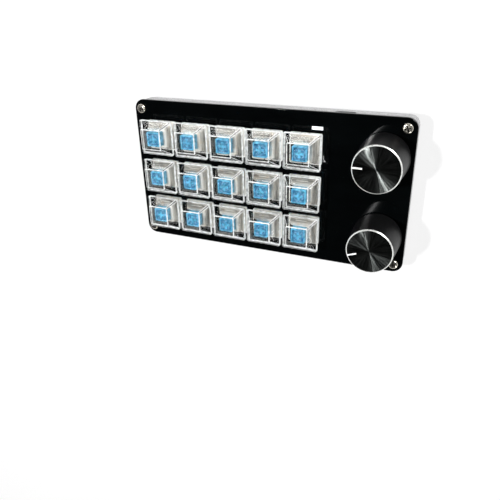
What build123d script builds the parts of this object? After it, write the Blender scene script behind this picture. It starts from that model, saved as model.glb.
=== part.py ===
from build123d import *
import os
from math import cos, hypot, radians, sin, sqrt

# Desktop macro keypad: a glossy plate carries fifteen mechanical key switches with clear caps and
# two push-and-turn encoders with turned aluminium knobs, over a shallow frame and a bottom cover.
# Millimetres, +Z up, +X along the rows of keys, +Y towards the edge with the cable socket.
# The origin is the centre of the plate's outline, on the surface that the feet stand on.

# ---- driving dimensions: key field ----
COLS = 5
ROWS = 3
CAP_BASE_W = 18.0        # width of a keycap at its skirt
CAP_BASE_D = 17.3
CAP_GAP_X = 1.05         # between neighbouring caps along a row
CAP_GAP_Y = 3.0          # between neighbouring rows
MARGIN_LEFT = 6.4        # plate edge to the first column's caps
MARGIN_FRONT = 7.35      # plate edge to the front row's caps
MARGIN_BACK = 8.5        # plate edge to the back row's caps

# ---- driving dimensions: case ----
PLATE_T = 1.5
PLATE_R = 5.0            # corner radius of the outline
PLATE_CHAMFER = 0.25
FRAME_INSET = 0.5        # the frame stands back from the plate's edge
FRAME_WALL = 2.2
COVER_T = 1.6
COVER_INSET = 0.6        # the cover stands back from the frame
FOOT_STAND = 1.3         # how far the feet stand out of the cover
FOOT_SEAT = 0.5          # how deep they sit in it
FOOT_R = 4.0
FOOT_ROUND = 0.4
FOOT_IN_X = 14.0         # foot centre from the plate's edge
FOOT_IN_Y = 12.0
SCREW_IN_X = 4.25        # corner screw centre from the plate's edge
SCREW_IN_Y = 4.4
BOSS_WALL = 1.25         # case material around a threaded standoff
UNDER_GAP = 1.15         # air between the lowest board part and the cover

# ---- driving dimensions: fasteners ----
SCREW_R = 1.2            # shank
SCREW_SLACK = 0.15       # between the shank and its clearance hole
HEAD_R = 2.25
HEAD_H = 1.5
HEAD_ROUND = 0.6
RECESS_W = 0.6           # cross recess in the screw heads
RECESS_L = 2.6
RECESS_DEPTH = 0.8
FACE_SCREW_L = 5.4
COVER_SCREW_L = 4.6
SUNK_H = 1.1             # countersunk head of the cover screws
STANDOFF_R = 2.1
FIT = 0.05               # sliding and locating clearance, each side

# ---- driving dimensions: circuit board ----
BOARD_T = 1.6
BOARD_CLEAR = 0.5        # board edge to the frame
SWITCH_SEAT = 5.0        # plate's top face to the board's top face

# ---- driving dimensions: key switch ----
SW_BODY = 13.95
SW_FLANGE_W = 15.6
SW_FLANGE_D = 14.6
SW_FLANGE_T = 0.9
SW_NOTCH_W = 0.7         # clip notches in the flange's front and back edges
SW_NOTCH_D = 0.55
SW_NOTCHES = (-2.2, 1.5)   # along the back edge, mirrored on the front edge
SW_FLOOR_T = 1.4
SW_WALL = 1.65           # lower housing's side walls
SW_POLE_R = 1.95
SW_POLE_END = 0.7        # closed end of the pole, under the guide bore
SW_TOP_H = 6.6           # upper housing's top face above the plate
SW_TOP_W = 10.4
SW_TOP_D = 9.3
SW_WAIST_W = 14.6        # upper housing where it meets the flange
SW_WAIST_D = 13.8
SW_EDGE_R = 0.8          # upper housing's upright edges
SW_INNER_R = 0.4
SW_ROOF_T = 1.0
SW_WAIST_WALL = 1.5      # upper housing's wall at the flange
SW_NECK_WALL = 0.65      # and under its roof
STEM_W = 7.0
STEM_EDGE_R = 0.5
STEM_INNER_R = 0.3
STEM_WALL = 0.6
SHOULDER_GAP = 0.2       # stem's shoulder to the housing, each side
STEM_SHOULDER_T = 1.4
STEM_RISE = 3.6          # stem's top above the upper housing
STEM_LAND = 0.4          # solid part of the stem below the housing's top face
STEM_SLOT = 0.15         # stem to the opening that it slides in, each side
CROSS_L = 4.0
CROSS_T = 1.2
GUIDE_R = 1.5            # stem's lower guide pin
GUIDE_GRIP = 0.3         # its length in the guide bore at rest
KEY_TRAVEL = 3.6
SPRING_GAP = 0.48        # between the coil and the guide pin
SPRING_WIRE_R = 0.17
SPRING_TURNS = 5
PIN_A = (3.81, -2.54)    # contact pins from the switch's centre
PIN_B = (-2.54, -5.08)
PIN_W = 1.5
PIN_T = 0.2
LEAF_T = 0.25
LEAF_H = 6.2             # the leaves end above the plate, inside the clear upper housing
LEAF_GAP = 0.3           # stem's shoulder to the leaves
SOCKET_T = 1.85
SOCKET_BARREL_R = 1.45
SOCKET_RIM = 0.3         # socket body around its two barrels
SOCKET_SKIN = 0.2        # under the pins
LED_AT = 5.08            # key light, behind the switch's centre
LED_W = 3.0
LED_D = 2.4
LED_RIM = 0.8
LED_RIM_T = 0.4
LED_SUNK = 0.3           # top of the light below the board's top face
DIODE_AT = (-7.2, 2.0)
DIODE_SIZE = (1.6, 2.7, 1.0)

# ---- driving dimensions: keycap ----
CAP_LOW = 5.9            # skirt above the plate
CAP_LIP = 1.1            # upright part of the skirt
CAP_TOP = 12.5           # top face above the plate
CAP_TOP_W = 10.5
CAP_TOP_D = 9.9
CAP_TOP_BACK = 0.35      # top face's middle behind the skirt's
CAP_BASE_R = 1.1
CAP_TOP_R = 0.7
CAP_EDGE_R = 0.3
CAP_WALL = 1.15
CAP_ROOF_T = 1.4
CAP_POST_GAP = 0.2       # cap post to the stem's wall
CAP_SEAT_GAP = 0.25      # cap post above the stem's solid part

# ---- driving dimensions: encoders and knobs ----
KNOB_BASE_D = 23.1
KNOB_DRAFT = 0.95        # how far the side leans in, up to the outer edge of the bright chamfer
KNOB_H = 18.2            # top face above the plate
KNOB_CHAMFER = 0.5
KNOB_CLEAR = 0.4         # lower edge above the plate with the knob pressed
KNOB_ROOM_GAP = 0.6      # hollow around the encoder's corners
KNOB_HUB_R = 5.0
KNOB_HUB_L = 1.1         # hub's length below the hollow's roof
KNOB_CROWN = 2.6         # solid metal over the bore
KNOB_PRESS = 0.5
KNOB_KEY_GAP = 15.4      # last column's caps to the knobs
KNOB_MARGIN = 1.5        # knobs to the plate's edge
KNOB_TO_KNOB = 14.6
KNOB_SHIFT_Y = 0.35      # middle of the pair from the middle row of keys
KNOB_TURNED = {"rear": 0.0, "front": 19.0}   # how each knob is left standing, degrees
MARK_L = 4.2
MARK_W = 0.75
MARK_DEPTH = 0.25
DIMPLE_R = 0.5           # turning centre mark
DIMPLE_TIP_R = 0.02
DIMPLE_DEPTH = 0.17
SHAFT_R = 3.0
SHAFT_FLAT = 1.5         # flat face's distance from the shaft's axis
GRUB_R = 1.5
GRUB_RISE = 3.9          # grub screw's axis above the hollow's roof
GRUB_SUNK = 1.5          # its outer end below the knob's rim
HEX_AF = 1.5
HEX_DEPTH = 1.5
ENC_W = 11.7
ENC_D = 12.0
ENC_H = 5.2
ENC_ROOM_R = 5.1
ENC_LEDGE = 1.85         # rotor seat above the board
ENC_PIT = 1.4            # floor of the pit under the shaft's tail
ENC_PIT_GAP = 0.2
ENC_SHEET_T = 0.5
ENC_TAB_T = 0.3
ENC_TAB_W = 2.1
ENC_TAB_L = 2.2          # length below the board's top face
ENC_HOLE_GAP = 0.5
BUSHING_R = 3.5
BUSHING_H = 5.0
BUSHING_CHAMFER = 0.4
ROTOR_GAP = 0.2
ROTOR_T = 1.2
TAIL_W = 4.2
TAIL_L = 1.6
TERMINAL_OUT = 1.5
TERMINAL_W = 0.8
TERMINAL_L = 3.0
TERMINAL_PITCH = 2.5

# ---- driving dimensions: cable socket, light and electronics ----
USB_FROM_KNOB = -19.5    # socket's middle from the knobs' axis, along X
USB_W = 8.94
USB_END_FLAT = 0.02      # straight bit at the rounded ends of its outline
USB_H = 3.2
USB_L = 7.3
USB_WALL = 0.3
USB_SINK = 0.8           # how far the shell sits below the board's top face
USB_BACK_T = 1.5
USB_RECESS = 0.3         # mouth behind the frame's outer face
USB_WING = 1.0
TONGUE_W = 6.7
TONGUE_T = 0.7
TONGUE_BACK = 0.9        # tip behind the mouth
LIGHT_FROM_KEY = 5.1     # status light from the last column's middle, along X
LIGHT_FROM_EDGE = 7.55   # from the plate's back edge
LIGHT_W = 5.2
LIGHT_D = 1.4
LIGHT_RIM = 0.6
LIGHT_LED = (3.0, 1.2, 0.8)
CHIP_W = 7.0
CHIP_T = 1.2
CHIP_CHAMFER = 0.15
CHIP_FROM_KNOB = -16.0
CHIP_PART = (2.0, 1.25, 0.9)
CHIP_PARTS = 8           # small parts in a ring around the chip
CHIP_PART_GAP = 2.25     # ring to the chip's corners

# ---- places worked out from the dimensions above ----
KEY_PITCH_X = CAP_BASE_W + CAP_GAP_X
KEY_PITCH_Y = CAP_BASE_D + CAP_GAP_Y
PLATE_W = (MARGIN_LEFT + CAP_BASE_W + (COLS - 1) * KEY_PITCH_X
           + KNOB_KEY_GAP + KNOB_BASE_D + KNOB_MARGIN)
PLATE_D = MARGIN_FRONT + CAP_BASE_D + (ROWS - 1) * KEY_PITCH_Y + MARGIN_BACK
FRAME_H = SWITCH_SEAT - PLATE_T + BOARD_T + SOCKET_T + UNDER_GAP
Z_COVER = FOOT_STAND
Z_FRAME = Z_COVER + COVER_T
Z_PLATE = Z_FRAME + FRAME_H
Z_TOP = Z_PLATE + PLATE_T
Z_BOARD_TOP = Z_TOP - SWITCH_SEAT
Z_BOARD = Z_BOARD_TOP - BOARD_T
FRAME_W = PLATE_W - 2 * FRAME_INSET
FRAME_D = PLATE_D - 2 * FRAME_INSET
FRAME_R = PLATE_R - FRAME_INSET
ROOM_W = FRAME_W - 2 * FRAME_WALL
ROOM_D = FRAME_D - 2 * FRAME_WALL
ROOM_R = max(FRAME_R - FRAME_WALL, 0.5)
FIRST_X = -PLATE_W / 2 + MARGIN_LEFT + CAP_BASE_W / 2
FRONT_Y = -PLATE_D / 2 + MARGIN_FRONT + CAP_BASE_D / 2
LAST_X = FIRST_X + (COLS - 1) * KEY_PITCH_X
BACK_Y = FRONT_Y + (ROWS - 1) * KEY_PITCH_Y
KNOB_RIM_D = KNOB_BASE_D - 2 * KNOB_DRAFT
KNOB_X = LAST_X + CAP_BASE_W / 2 + KNOB_KEY_GAP + KNOB_BASE_D / 2
KNOB_MID_Y = (FRONT_Y + BACK_Y) / 2 + KNOB_SHIFT_Y
KNOB_SPACING = KNOB_BASE_D + KNOB_TO_KNOB
KNOB_PLACES = {"rear": (KNOB_X, KNOB_MID_Y + KNOB_SPACING / 2),
               "front": (KNOB_X, KNOB_MID_Y - KNOB_SPACING / 2)}
SCREW_HOLE_R = SCREW_R + SCREW_SLACK
STANDOFF_BORE_R = SCREW_R + FIT
BOSS_R = STANDOFF_R + FIT + BOSS_WALL
SW_CAVITY = SW_BODY - 2 * SW_WALL
SW_ROOF_SHARE = SW_ROOF_T / (SW_TOP_H - SW_FLANGE_T)   # of the upper housing's height
SW_NECK_W = SW_TOP_W + SW_ROOF_SHARE * (SW_WAIST_W - SW_TOP_W) - 2 * SW_NECK_WALL
SW_NECK_D = SW_TOP_D + SW_ROOF_SHARE * (SW_WAIST_D - SW_TOP_D) - 2 * SW_NECK_WALL
SW_ROOM_W = SW_WAIST_W - 2 * SW_WAIST_WALL
SW_ROOM_D = SW_WAIST_D - 2 * SW_WAIST_WALL
STEM_SHOULDER_W = SW_NECK_W - 2 * SHOULDER_GAP
STEM_SHOULDER_D = SW_NECK_D - 2 * SHOULDER_GAP
LEAF_Y = -STEM_SHOULDER_D / 2 - LEAF_GAP - LEAF_T / 2
STEM_TOP = SW_TOP_H + STEM_RISE
STEM_FLOOR = SW_TOP_H - STEM_LAND
SHOULDER_TOP = SW_TOP_H - SW_ROOF_T - FIT
SHOULDER_LOW = SHOULDER_TOP - STEM_SHOULDER_T
FLOOR_TOP = -SWITCH_SEAT + SW_FLOOR_T
GUIDE_END = FLOOR_TOP - GUIDE_GRIP - KEY_TRAVEL - 2 * FIT
SPRING_R = GUIDE_R + SPRING_GAP + SPRING_WIRE_R
SOCKET_LOW = -SWITCH_SEAT - BOARD_T - SOCKET_T
CAP_POST_R = STEM_W / 2 - STEM_WALL - CAP_POST_GAP
CAP_POST_LOW = STEM_FLOOR + CAP_SEAT_GAP
ENC_TOP = -SWITCH_SEAT + ENC_H + ENC_SHEET_T
ENC_SPAN = ENC_W + 2 * ENC_TAB_T
ENC_PIT_R = TAIL_W / sqrt(2) + ENC_PIT_GAP
ROTOR_R = ENC_ROOM_R - ROTOR_GAP
KNOB_LIFT = KNOB_PRESS + KNOB_CLEAR
KNOB_ROOM_R = hypot(ENC_SPAN, ENC_D) / 2 + KNOB_ROOM_GAP
HUB_LOW = ENC_TOP + BUSHING_H + KNOB_PRESS + 6 * FIT
KNOB_ROOM = HUB_LOW + KNOB_HUB_L
SHAFT_END = KNOB_H - KNOB_CROWN - 2 * FIT
SHAFT_FLAT_LOW = HUB_LOW - 2 * FIT
GRUB_AT = KNOB_ROOM + GRUB_RISE
GRUB_L = KNOB_RIM_D / 2 - GRUB_SUNK - SHAFT_FLAT - FIT
USB_X = KNOB_X + USB_FROM_KNOB
USB_Z = Z_BOARD_TOP - USB_SINK + USB_H / 2
USB_MOUTH_Y = FRAME_D / 2 - USB_RECESS
LIGHT_AT = (LAST_X + LIGHT_FROM_KEY, PLATE_D / 2 - LIGHT_FROM_EDGE)
CHIP_AT = (KNOB_X + CHIP_FROM_KNOB, KNOB_MID_Y)
LOW = (Align.CENTER, Align.CENTER, Align.MIN)
HIGH = (Align.CENTER, Align.CENTER, Align.MAX)


def key_places():
    """Name and centre of each key, from the back row to the front and from left to right."""
    for row in range(ROWS):
        for col in range(COLS):
            name = f"r{row + 1}c{col + 1}"
            yield name, FIRST_X + col * KEY_PITCH_X, BACK_Y - row * KEY_PITCH_Y


def corner_places(in_x, in_y):
    """Four places, in_x and in_y inside the plate's edges."""
    x = PLATE_W / 2 - in_x
    y = PLATE_D / 2 - in_y
    return [(x, y), (-x, y), (-x, -y), (x, -y)]


def slab(width, depth, radius, low, high):
    """Upright prism with rounded corners between two heights."""
    return Pos(0, 0, low) * extrude(RectangleRounded(width, depth, radius), high - low)


def block(x, y, low, high, width, depth):
    """Upright box about (x, y) between two heights."""
    return Pos(x, y, low) * Box(width, depth, high - low, align=LOW)


def rod(x, y, low, high, radius):
    """Upright cylinder about (x, y) between two heights."""
    return Pos(x, y, low) * Cylinder(radius, high - low, align=LOW)


def level(width, depth, radius, height, shift=0.0):
    """Rounded rectangle at a height, with its middle shifted along Y."""
    return (Pos(0, shift, height) * RectangleRounded(width, depth, radius)).face()


def group(pieces):
    """Separate solids kept side by side in one node."""
    solids = []
    for piece in pieces:
        solids.extend(piece.solids())
    return Compound(children=solids)


def on_keys(piece):
    """A copy of a piece at every key, from its place above the plate's top face."""
    return group([Pos(x, y, Z_TOP) * piece for _, x, y in key_places()])


def on_encoders(piece):
    """A copy of a piece at both encoders, square to the plate."""
    return group([at_encoder(name, piece, False) for name in KNOB_PLACES])


def at_encoder(name, piece, turned=True):
    """A piece moved from the plate's top face at the origin to one encoder."""
    x, y = KNOB_PLACES[name]
    angle = KNOB_TURNED[name] if turned else 0.0
    return Pos(x, y, Z_TOP) * Rot(0, 0, angle) * piece


# ---- case ----
def face_plate():
    plate = slab(PLATE_W, PLATE_D, PLATE_R, Z_PLATE, Z_TOP)
    plate = chamfer(plate.faces().sort_by(Axis.Z)[-1].edges(), PLATE_CHAMFER)
    hole = SW_BODY + FIT
    for _, x, y in key_places():
        plate -= block(x, y, Z_PLATE, Z_TOP, hole, hole)
    for x, y in KNOB_PLACES.values():
        plate -= block(x, y, Z_PLATE, Z_TOP, ENC_SPAN + 2 * ENC_HOLE_GAP, ENC_D + 2 * ENC_HOLE_GAP)
    for x, y in corner_places(SCREW_IN_X, SCREW_IN_Y):
        plate -= rod(x, y, Z_PLATE, Z_TOP, SCREW_HOLE_R)
    plate -= block(*LIGHT_AT, Z_PLATE, Z_TOP, LIGHT_W + 2 * FIT, LIGHT_D + 2 * FIT)
    return plate


def usb_mouth(width, height, near_y, far_y):
    """Stadium-shaped prism along Y about the cable socket's middle."""
    section = RectangleRounded(width, height, (height - USB_END_FLAT) / 2)
    prism = extrude(section, far_y - near_y)
    return Pos(USB_X, far_y, USB_Z) * Rot(90, 0, 0) * prism


def side_frame():
    outer = slab(FRAME_W, FRAME_D, FRAME_R, Z_FRAME, Z_PLATE)
    frame = outer - slab(ROOM_W, ROOM_D, ROOM_R, Z_FRAME, Z_PLATE)
    for x, y in corner_places(SCREW_IN_X, SCREW_IN_Y):
        frame += rod(x, y, Z_FRAME, Z_PLATE, BOSS_R) & outer
    for x, y in corner_places(SCREW_IN_X, SCREW_IN_Y):
        frame -= rod(x, y, Z_FRAME, Z_PLATE, STANDOFF_R + FIT)
    inside = FRAME_D / 2 - 2 * FRAME_WALL
    frame -= usb_mouth(USB_W + 2 * USB_RECESS, USB_H + 2 * USB_RECESS, inside, FRAME_D / 2 + 1)
    return frame


def bottom_cover():
    width = FRAME_W - 2 * COVER_INSET
    depth = FRAME_D - 2 * COVER_INSET
    cover = slab(width, depth, FRAME_R - COVER_INSET, Z_COVER, Z_FRAME)
    for x, y in corner_places(SCREW_IN_X, SCREW_IN_Y):
        sink = Cone(HEAD_R + FIT, SCREW_HOLE_R, SUNK_H, align=LOW)
        cover -= Pos(x, y, Z_COVER) * sink
        cover -= rod(x, y, Z_COVER, Z_FRAME, SCREW_HOLE_R)
    for x, y in corner_places(FOOT_IN_X, FOOT_IN_Y):
        cover -= rod(x, y, Z_COVER, Z_COVER + FOOT_SEAT, FOOT_R + FIT)
    return cover


def rubber_feet():
    foot = Cylinder(FOOT_R, FOOT_STAND + FOOT_SEAT, align=LOW)
    foot = fillet(foot.edges().group_by(Axis.Z)[0], FOOT_ROUND)
    return group([Pos(x, y, 0) * foot for x, y in corner_places(FOOT_IN_X, FOOT_IN_Y)])


def cross_recess(depth):
    """Cross-shaped driver recess that goes down from z = 0."""
    bar = Box(RECESS_L, RECESS_W, depth, align=HIGH)
    return bar + Rot(0, 0, 90) * bar


def face_screws():
    head = Cylinder(HEAD_R, HEAD_H, align=LOW)
    head = fillet(head.edges().group_by(Axis.Z)[-1], HEAD_ROUND)
    screw = head + Cylinder(SCREW_R, FACE_SCREW_L, align=HIGH)
    screw -= Pos(0, 0, HEAD_H) * cross_recess(RECESS_DEPTH)
    turns = (20, 65, 40, 10)
    places = corner_places(SCREW_IN_X, SCREW_IN_Y)
    return group([Pos(x, y, Z_TOP) * Rot(0, 0, turn) * screw for (x, y), turn in zip(places, turns)])


def bottom_screws():
    screw = Cone(HEAD_R, SCREW_R, SUNK_H, align=LOW)
    screw += Cylinder(SCREW_R, COVER_SCREW_L, align=LOW)
    screw -= Rot(180, 0, 0) * cross_recess(RECESS_DEPTH)
    return group([Pos(x, y, Z_COVER) * screw for x, y in corner_places(SCREW_IN_X, SCREW_IN_Y)])


def threaded_standoffs():
    sleeve = Cylinder(STANDOFF_R, FRAME_H, align=LOW) - Cylinder(STANDOFF_BORE_R, FRAME_H, align=LOW)
    return group([Pos(x, y, Z_FRAME) * sleeve for x, y in corner_places(SCREW_IN_X, SCREW_IN_Y)])


# ---- key switches ----
def switch_lower_housing():
    floor_z = -SWITCH_SEAT
    house = Box(SW_BODY, SW_BODY, SWITCH_SEAT, align=HIGH)
    house += Box(SW_FLANGE_W, SW_FLANGE_D, SW_FLANGE_T, align=LOW)
    notch_y = (SW_FLANGE_D - SW_NOTCH_D) / 2
    for x in SW_NOTCHES:
        house -= block(x, notch_y, 0, SW_FLANGE_T, SW_NOTCH_W, SW_NOTCH_D)
        house -= block(-x, -notch_y, 0, SW_FLANGE_T, SW_NOTCH_W, SW_NOTCH_D)
    house += rod(0, 0, GUIDE_END - SW_POLE_END, floor_z, SW_POLE_R)
    house -= block(0, 0, FLOOR_TOP, SW_FLANGE_T, SW_CAVITY, SW_CAVITY)
    house -= rod(0, 0, GUIDE_END, FLOOR_TOP, GUIDE_R + FIT)
    for x, y in (PIN_A, PIN_B):
        house -= block(x, y, floor_z, FLOOR_TOP, PIN_W + 2 * FIT, PIN_T + 2 * FIT)
    return house


def switch_upper_housing():
    waist = level(SW_WAIST_W, SW_WAIST_D, SW_EDGE_R, SW_FLANGE_T)
    top = level(SW_TOP_W, SW_TOP_D, SW_EDGE_R, SW_TOP_H)
    room = level(SW_ROOM_W, SW_ROOM_D, SW_INNER_R, SW_FLANGE_T)
    neck = level(SW_NECK_W, SW_NECK_D, SW_INNER_R, SW_TOP_H - SW_ROOF_T)
    house = loft([waist, top]) - loft([room, neck])
    opening = STEM_W + 2 * STEM_SLOT
    house -= block(0, 0, SW_FLANGE_T, SW_TOP_H, opening, opening)
    return house


def cross(length, thickness, low, high):
    """Plus-shaped prism on the stem's axis."""
    return block(0, 0, low, high, length, thickness) + block(0, 0, low, high, thickness, length)


def key_stem():
    stem = block(0, 0, SHOULDER_LOW, SHOULDER_TOP, STEM_SHOULDER_W, STEM_SHOULDER_D)
    stem += slab(STEM_W, STEM_W, STEM_EDGE_R, SHOULDER_TOP, STEM_TOP)
    inner = STEM_W - 2 * STEM_WALL
    stem -= slab(inner, inner, STEM_INNER_R, STEM_FLOOR, STEM_TOP)
    stem += cross(CROSS_L, CROSS_T, STEM_FLOOR, STEM_TOP)
    stem += rod(0, 0, FLOOR_TOP - GUIDE_GRIP, SHOULDER_LOW, GUIDE_R)
    return stem


def key_cap():
    lip_top = CAP_LOW + CAP_LIP
    roof = CAP_TOP - CAP_ROOF_T
    share = CAP_ROOF_T / (CAP_TOP - lip_top)
    roof_w = CAP_TOP_W + share * (CAP_BASE_W - CAP_TOP_W) - 2 * CAP_WALL
    roof_d = CAP_TOP_D + share * (CAP_BASE_D - CAP_TOP_D) - 2 * CAP_WALL
    lip = level(CAP_BASE_W, CAP_BASE_D, CAP_BASE_R, lip_top)
    top = level(CAP_TOP_W, CAP_TOP_D, CAP_TOP_R, CAP_TOP, CAP_TOP_BACK)
    cap = loft([lip, top])
    cap = fillet(cap.faces().sort_by(Axis.Z)[-1].edges(), CAP_EDGE_R)
    cap += slab(CAP_BASE_W, CAP_BASE_D, CAP_BASE_R, CAP_LOW, lip_top)
    mouth = level(CAP_BASE_W - 2 * CAP_WALL, CAP_BASE_D - 2 * CAP_WALL, CAP_BASE_R / 2, CAP_LOW)
    ceiling = level(roof_w, roof_d, CAP_TOP_R / 2, roof, (1 - share) * CAP_TOP_BACK)
    cap -= loft([mouth, ceiling])
    cap += rod(0, 0, CAP_POST_LOW, roof, CAP_POST_R)
    return cap - cross(CROSS_L + 2 * FIT, CROSS_T + 2 * FIT, CAP_POST_LOW, STEM_TOP)


def key_spring():
    """Coil drawn at its length with the key fully down, so that the stem's travel stays clear."""
    pressed = SHOULDER_LOW - KEY_TRAVEL - FLOOR_TOP
    rise = pressed - 2 * SPRING_WIRE_R - 2 * FIT
    path = Helix(pitch=rise / SPRING_TURNS, height=rise, radius=SPRING_R)
    section = Plane(path @ 0, z_dir=path % 0) * Circle(SPRING_WIRE_R)
    return Pos(0, 0, FLOOR_TOP + SPRING_WIRE_R + FIT) * sweep(section, path)


def switch_contacts():
    """Two bent strips: each is a leaf beside the stem and a pin through the floor."""
    tip = SOCKET_LOW + SOCKET_SKIN + 2 * FIT
    strips = []
    for x, y in (PIN_A, PIN_B):
        front = min(LEAF_Y - LEAF_T / 2, y - PIN_T / 2)
        back = max(LEAF_Y + LEAF_T / 2, y + PIN_T / 2)
        strip = block(x, y, tip, FLOOR_TOP + LEAF_T, PIN_W, PIN_T)
        strip += block(x, (front + back) / 2, FLOOR_TOP, FLOOR_TOP + LEAF_T, PIN_W, back - front)
        strip += block(x, LEAF_Y, FLOOR_TOP, FLOOR_TOP + LEAF_H, PIN_W, LEAF_T)
        strips.append(strip)
    return group(strips)


def hot_swap_socket():
    """Socket under the board that holds a switch's two pins."""
    low = SOCKET_LOW
    high = low + SOCKET_T
    reach = SOCKET_BARREL_R + SOCKET_RIM
    mid = (PIN_A[0] + PIN_B[0]) / 2
    body = block(*PIN_A, low, high, 2 * reach, 2 * reach)
    body += block(mid, PIN_B[1], low, high, PIN_A[0] - PIN_B[0] + 2 * reach, 2 * reach)
    for x, y in (PIN_A, PIN_B):
        body += rod(x, y, high, -SWITCH_SEAT - 2 * FIT, SOCKET_BARREL_R)
        body -= block(x, y, low + SOCKET_SKIN, -SWITCH_SEAT, PIN_W + 2 * FIT, PIN_T + 2 * FIT)
    return body


def key_led():
    """Light in its slot in the board, with a rim against the underside."""
    high = -SWITCH_SEAT - LED_SUNK
    board_low = -SWITCH_SEAT - BOARD_T
    led = block(0, LED_AT, board_low, high, LED_W, LED_D)
    return led + block(0, LED_AT, board_low - LED_RIM_T, board_low, LED_W + 2 * LED_RIM, LED_D)


# ---- circuit board ----
def board_blank():
    board = slab(ROOM_W - 2 * BOARD_CLEAR, ROOM_D - 2 * BOARD_CLEAR, ROOM_R, Z_BOARD, Z_BOARD_TOP)
    for x, y in corner_places(SCREW_IN_X, SCREW_IN_Y):
        board -= rod(x, y, Z_BOARD, Z_BOARD_TOP, BOSS_R + BOARD_CLEAR)
    return board


def key_holes():
    """What the board loses at one key, from the key's place on the plate's top face."""
    low = -SWITCH_SEAT - BOARD_T
    high = -SWITCH_SEAT
    holes = rod(0, 0, low, high, SW_POLE_R + FIT)
    for x, y in (PIN_A, PIN_B):
        holes += rod(x, y, low, high, SOCKET_BARREL_R + FIT)
    return holes + block(0, LED_AT, low, high, LED_W + 4 * FIT, LED_D + 4 * FIT)


def terminal_places():
    """Encoder terminals from its shaft: three in front and two behind."""
    out = ENC_D / 2 + TERMINAL_OUT
    side = TERMINAL_PITCH
    return [(-side, -out), (0, -out), (side, -out), (-side, out), (side, out)]


def encoder_holes():
    """What the board loses at one encoder."""
    low = -SWITCH_SEAT - BOARD_T
    high = -SWITCH_SEAT
    tab_x = ENC_W / 2 + ENC_TAB_T / 2
    holes = block(tab_x, 0, low, high, ENC_TAB_T + 4 * FIT, ENC_TAB_W + 4 * FIT)
    holes += block(-tab_x, 0, low, high, ENC_TAB_T + 4 * FIT, ENC_TAB_W + 4 * FIT)
    for x, y in terminal_places():
        holes += rod(x, y, low, high, TERMINAL_W / 2 + 2 * FIT)
    return holes


def circuit_board():
    board = board_blank()
    for _, x, y in key_places():
        board -= Pos(x, y, Z_TOP) * key_holes()
    for x, y in KNOB_PLACES.values():
        board -= Pos(x, y, Z_TOP) * encoder_holes()
    back = USB_MOUTH_Y - USB_L
    notch_d = PLATE_D / 2 - back
    notch_y = back + notch_d / 2 - FIT
    return board - block(USB_X, notch_y, Z_BOARD, Z_BOARD_TOP, USB_W + 2 * FIT, notch_d)


def board_leds():
    lights = [Pos(x, y, Z_TOP) * key_led() for _, x, y in key_places()]
    width, depth, height = LIGHT_LED
    lights.append(block(*LIGHT_AT, Z_BOARD_TOP, Z_BOARD_TOP + height, width, depth))
    return group(lights)


def board_components():
    """One diode for each key, and the small parts around the controller chip."""
    parts = []
    width, depth, height = DIODE_SIZE
    for _, x, y in key_places():
        parts.append(block(x + DIODE_AT[0], y + DIODE_AT[1], Z_BOARD - height, Z_BOARD, width, depth))
    width, depth, height = CHIP_PART
    ring = CHIP_W / sqrt(2) + CHIP_PART_GAP
    for step in range(CHIP_PARTS):
        angle = radians(360 * step / CHIP_PARTS)
        x = CHIP_AT[0] + ring * cos(angle)
        y = CHIP_AT[1] + ring * sin(angle)
        parts.append(block(x, y, Z_BOARD - height, Z_BOARD, width, depth))
    return group(parts)


def microcontroller():
    chip = block(*CHIP_AT, Z_BOARD - CHIP_T, Z_BOARD, CHIP_W, CHIP_W)
    return chamfer(chip.faces().sort_by(Axis.Z)[0].edges(), CHIP_CHAMFER)


# ---- cable socket and status light ----
def usb_socket_shell():
    back = USB_MOUTH_Y - USB_L
    shell = usb_mouth(USB_W, USB_H, back, USB_MOUTH_Y)
    shell -= usb_mouth(USB_W - 2 * USB_WALL, USB_H - 2 * USB_WALL, back, USB_MOUTH_Y)
    wing_w = USB_WING + USB_WALL
    for side in (-1, 1):
        x = USB_X + side * (USB_W / 2 - USB_WALL / 2 + wing_w / 2)
        wing = block(x, back + USB_WING, Z_BOARD_TOP, Z_BOARD_TOP + USB_WALL, wing_w, USB_WING)
        shell += wing
    return shell


def usb_socket_tongue():
    back = USB_MOUTH_Y - USB_L
    inner_w = USB_W - 2 * USB_WALL - 2 * FIT
    inner_h = USB_H - 2 * USB_WALL - 2 * FIT
    core = usb_mouth(inner_w, inner_h, back, back + USB_BACK_T)
    length = USB_L - USB_BACK_T - TONGUE_BACK
    blade = block(USB_X, back + USB_BACK_T + length / 2, USB_Z - TONGUE_T / 2, USB_Z + TONGUE_T / 2,
                  TONGUE_W, length)
    return core + blade


def status_light_pipe():
    low = Z_BOARD_TOP + LIGHT_LED[2]
    pipe = block(*LIGHT_AT, low, Z_TOP, LIGHT_W, LIGHT_D)
    rim_w = LIGHT_W + 2 * LIGHT_RIM
    return pipe + block(*LIGHT_AT, Z_PLATE - LIGHT_RIM, Z_PLATE, rim_w, LIGHT_D + 2 * LIGHT_RIM)


# ---- encoders: heights from the board's top face, which is SWITCH_SEAT under the plate's ----
def encoder_base():
    base = block(0, 0, -SWITCH_SEAT, -SWITCH_SEAT + ENC_H, ENC_W, ENC_D)
    base -= rod(0, 0, -SWITCH_SEAT + ENC_LEDGE, -SWITCH_SEAT + ENC_H, ENC_ROOM_R)
    base -= rod(0, 0, -SWITCH_SEAT + ENC_PIT, -SWITCH_SEAT + ENC_LEDGE, ENC_PIT_R)
    for x, y in terminal_places():
        arm_y = y - (TERMINAL_OUT / 2 if y > 0 else -TERMINAL_OUT / 2)
        thick = TERMINAL_W / 2
        base += block(x, arm_y, -SWITCH_SEAT + thick, -SWITCH_SEAT + 2 * thick,
                      TERMINAL_W, TERMINAL_OUT + thick)
        base += block(x, y, -SWITCH_SEAT - TERMINAL_L, -SWITCH_SEAT + 2 * thick, TERMINAL_W, thick)
    return base


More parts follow.
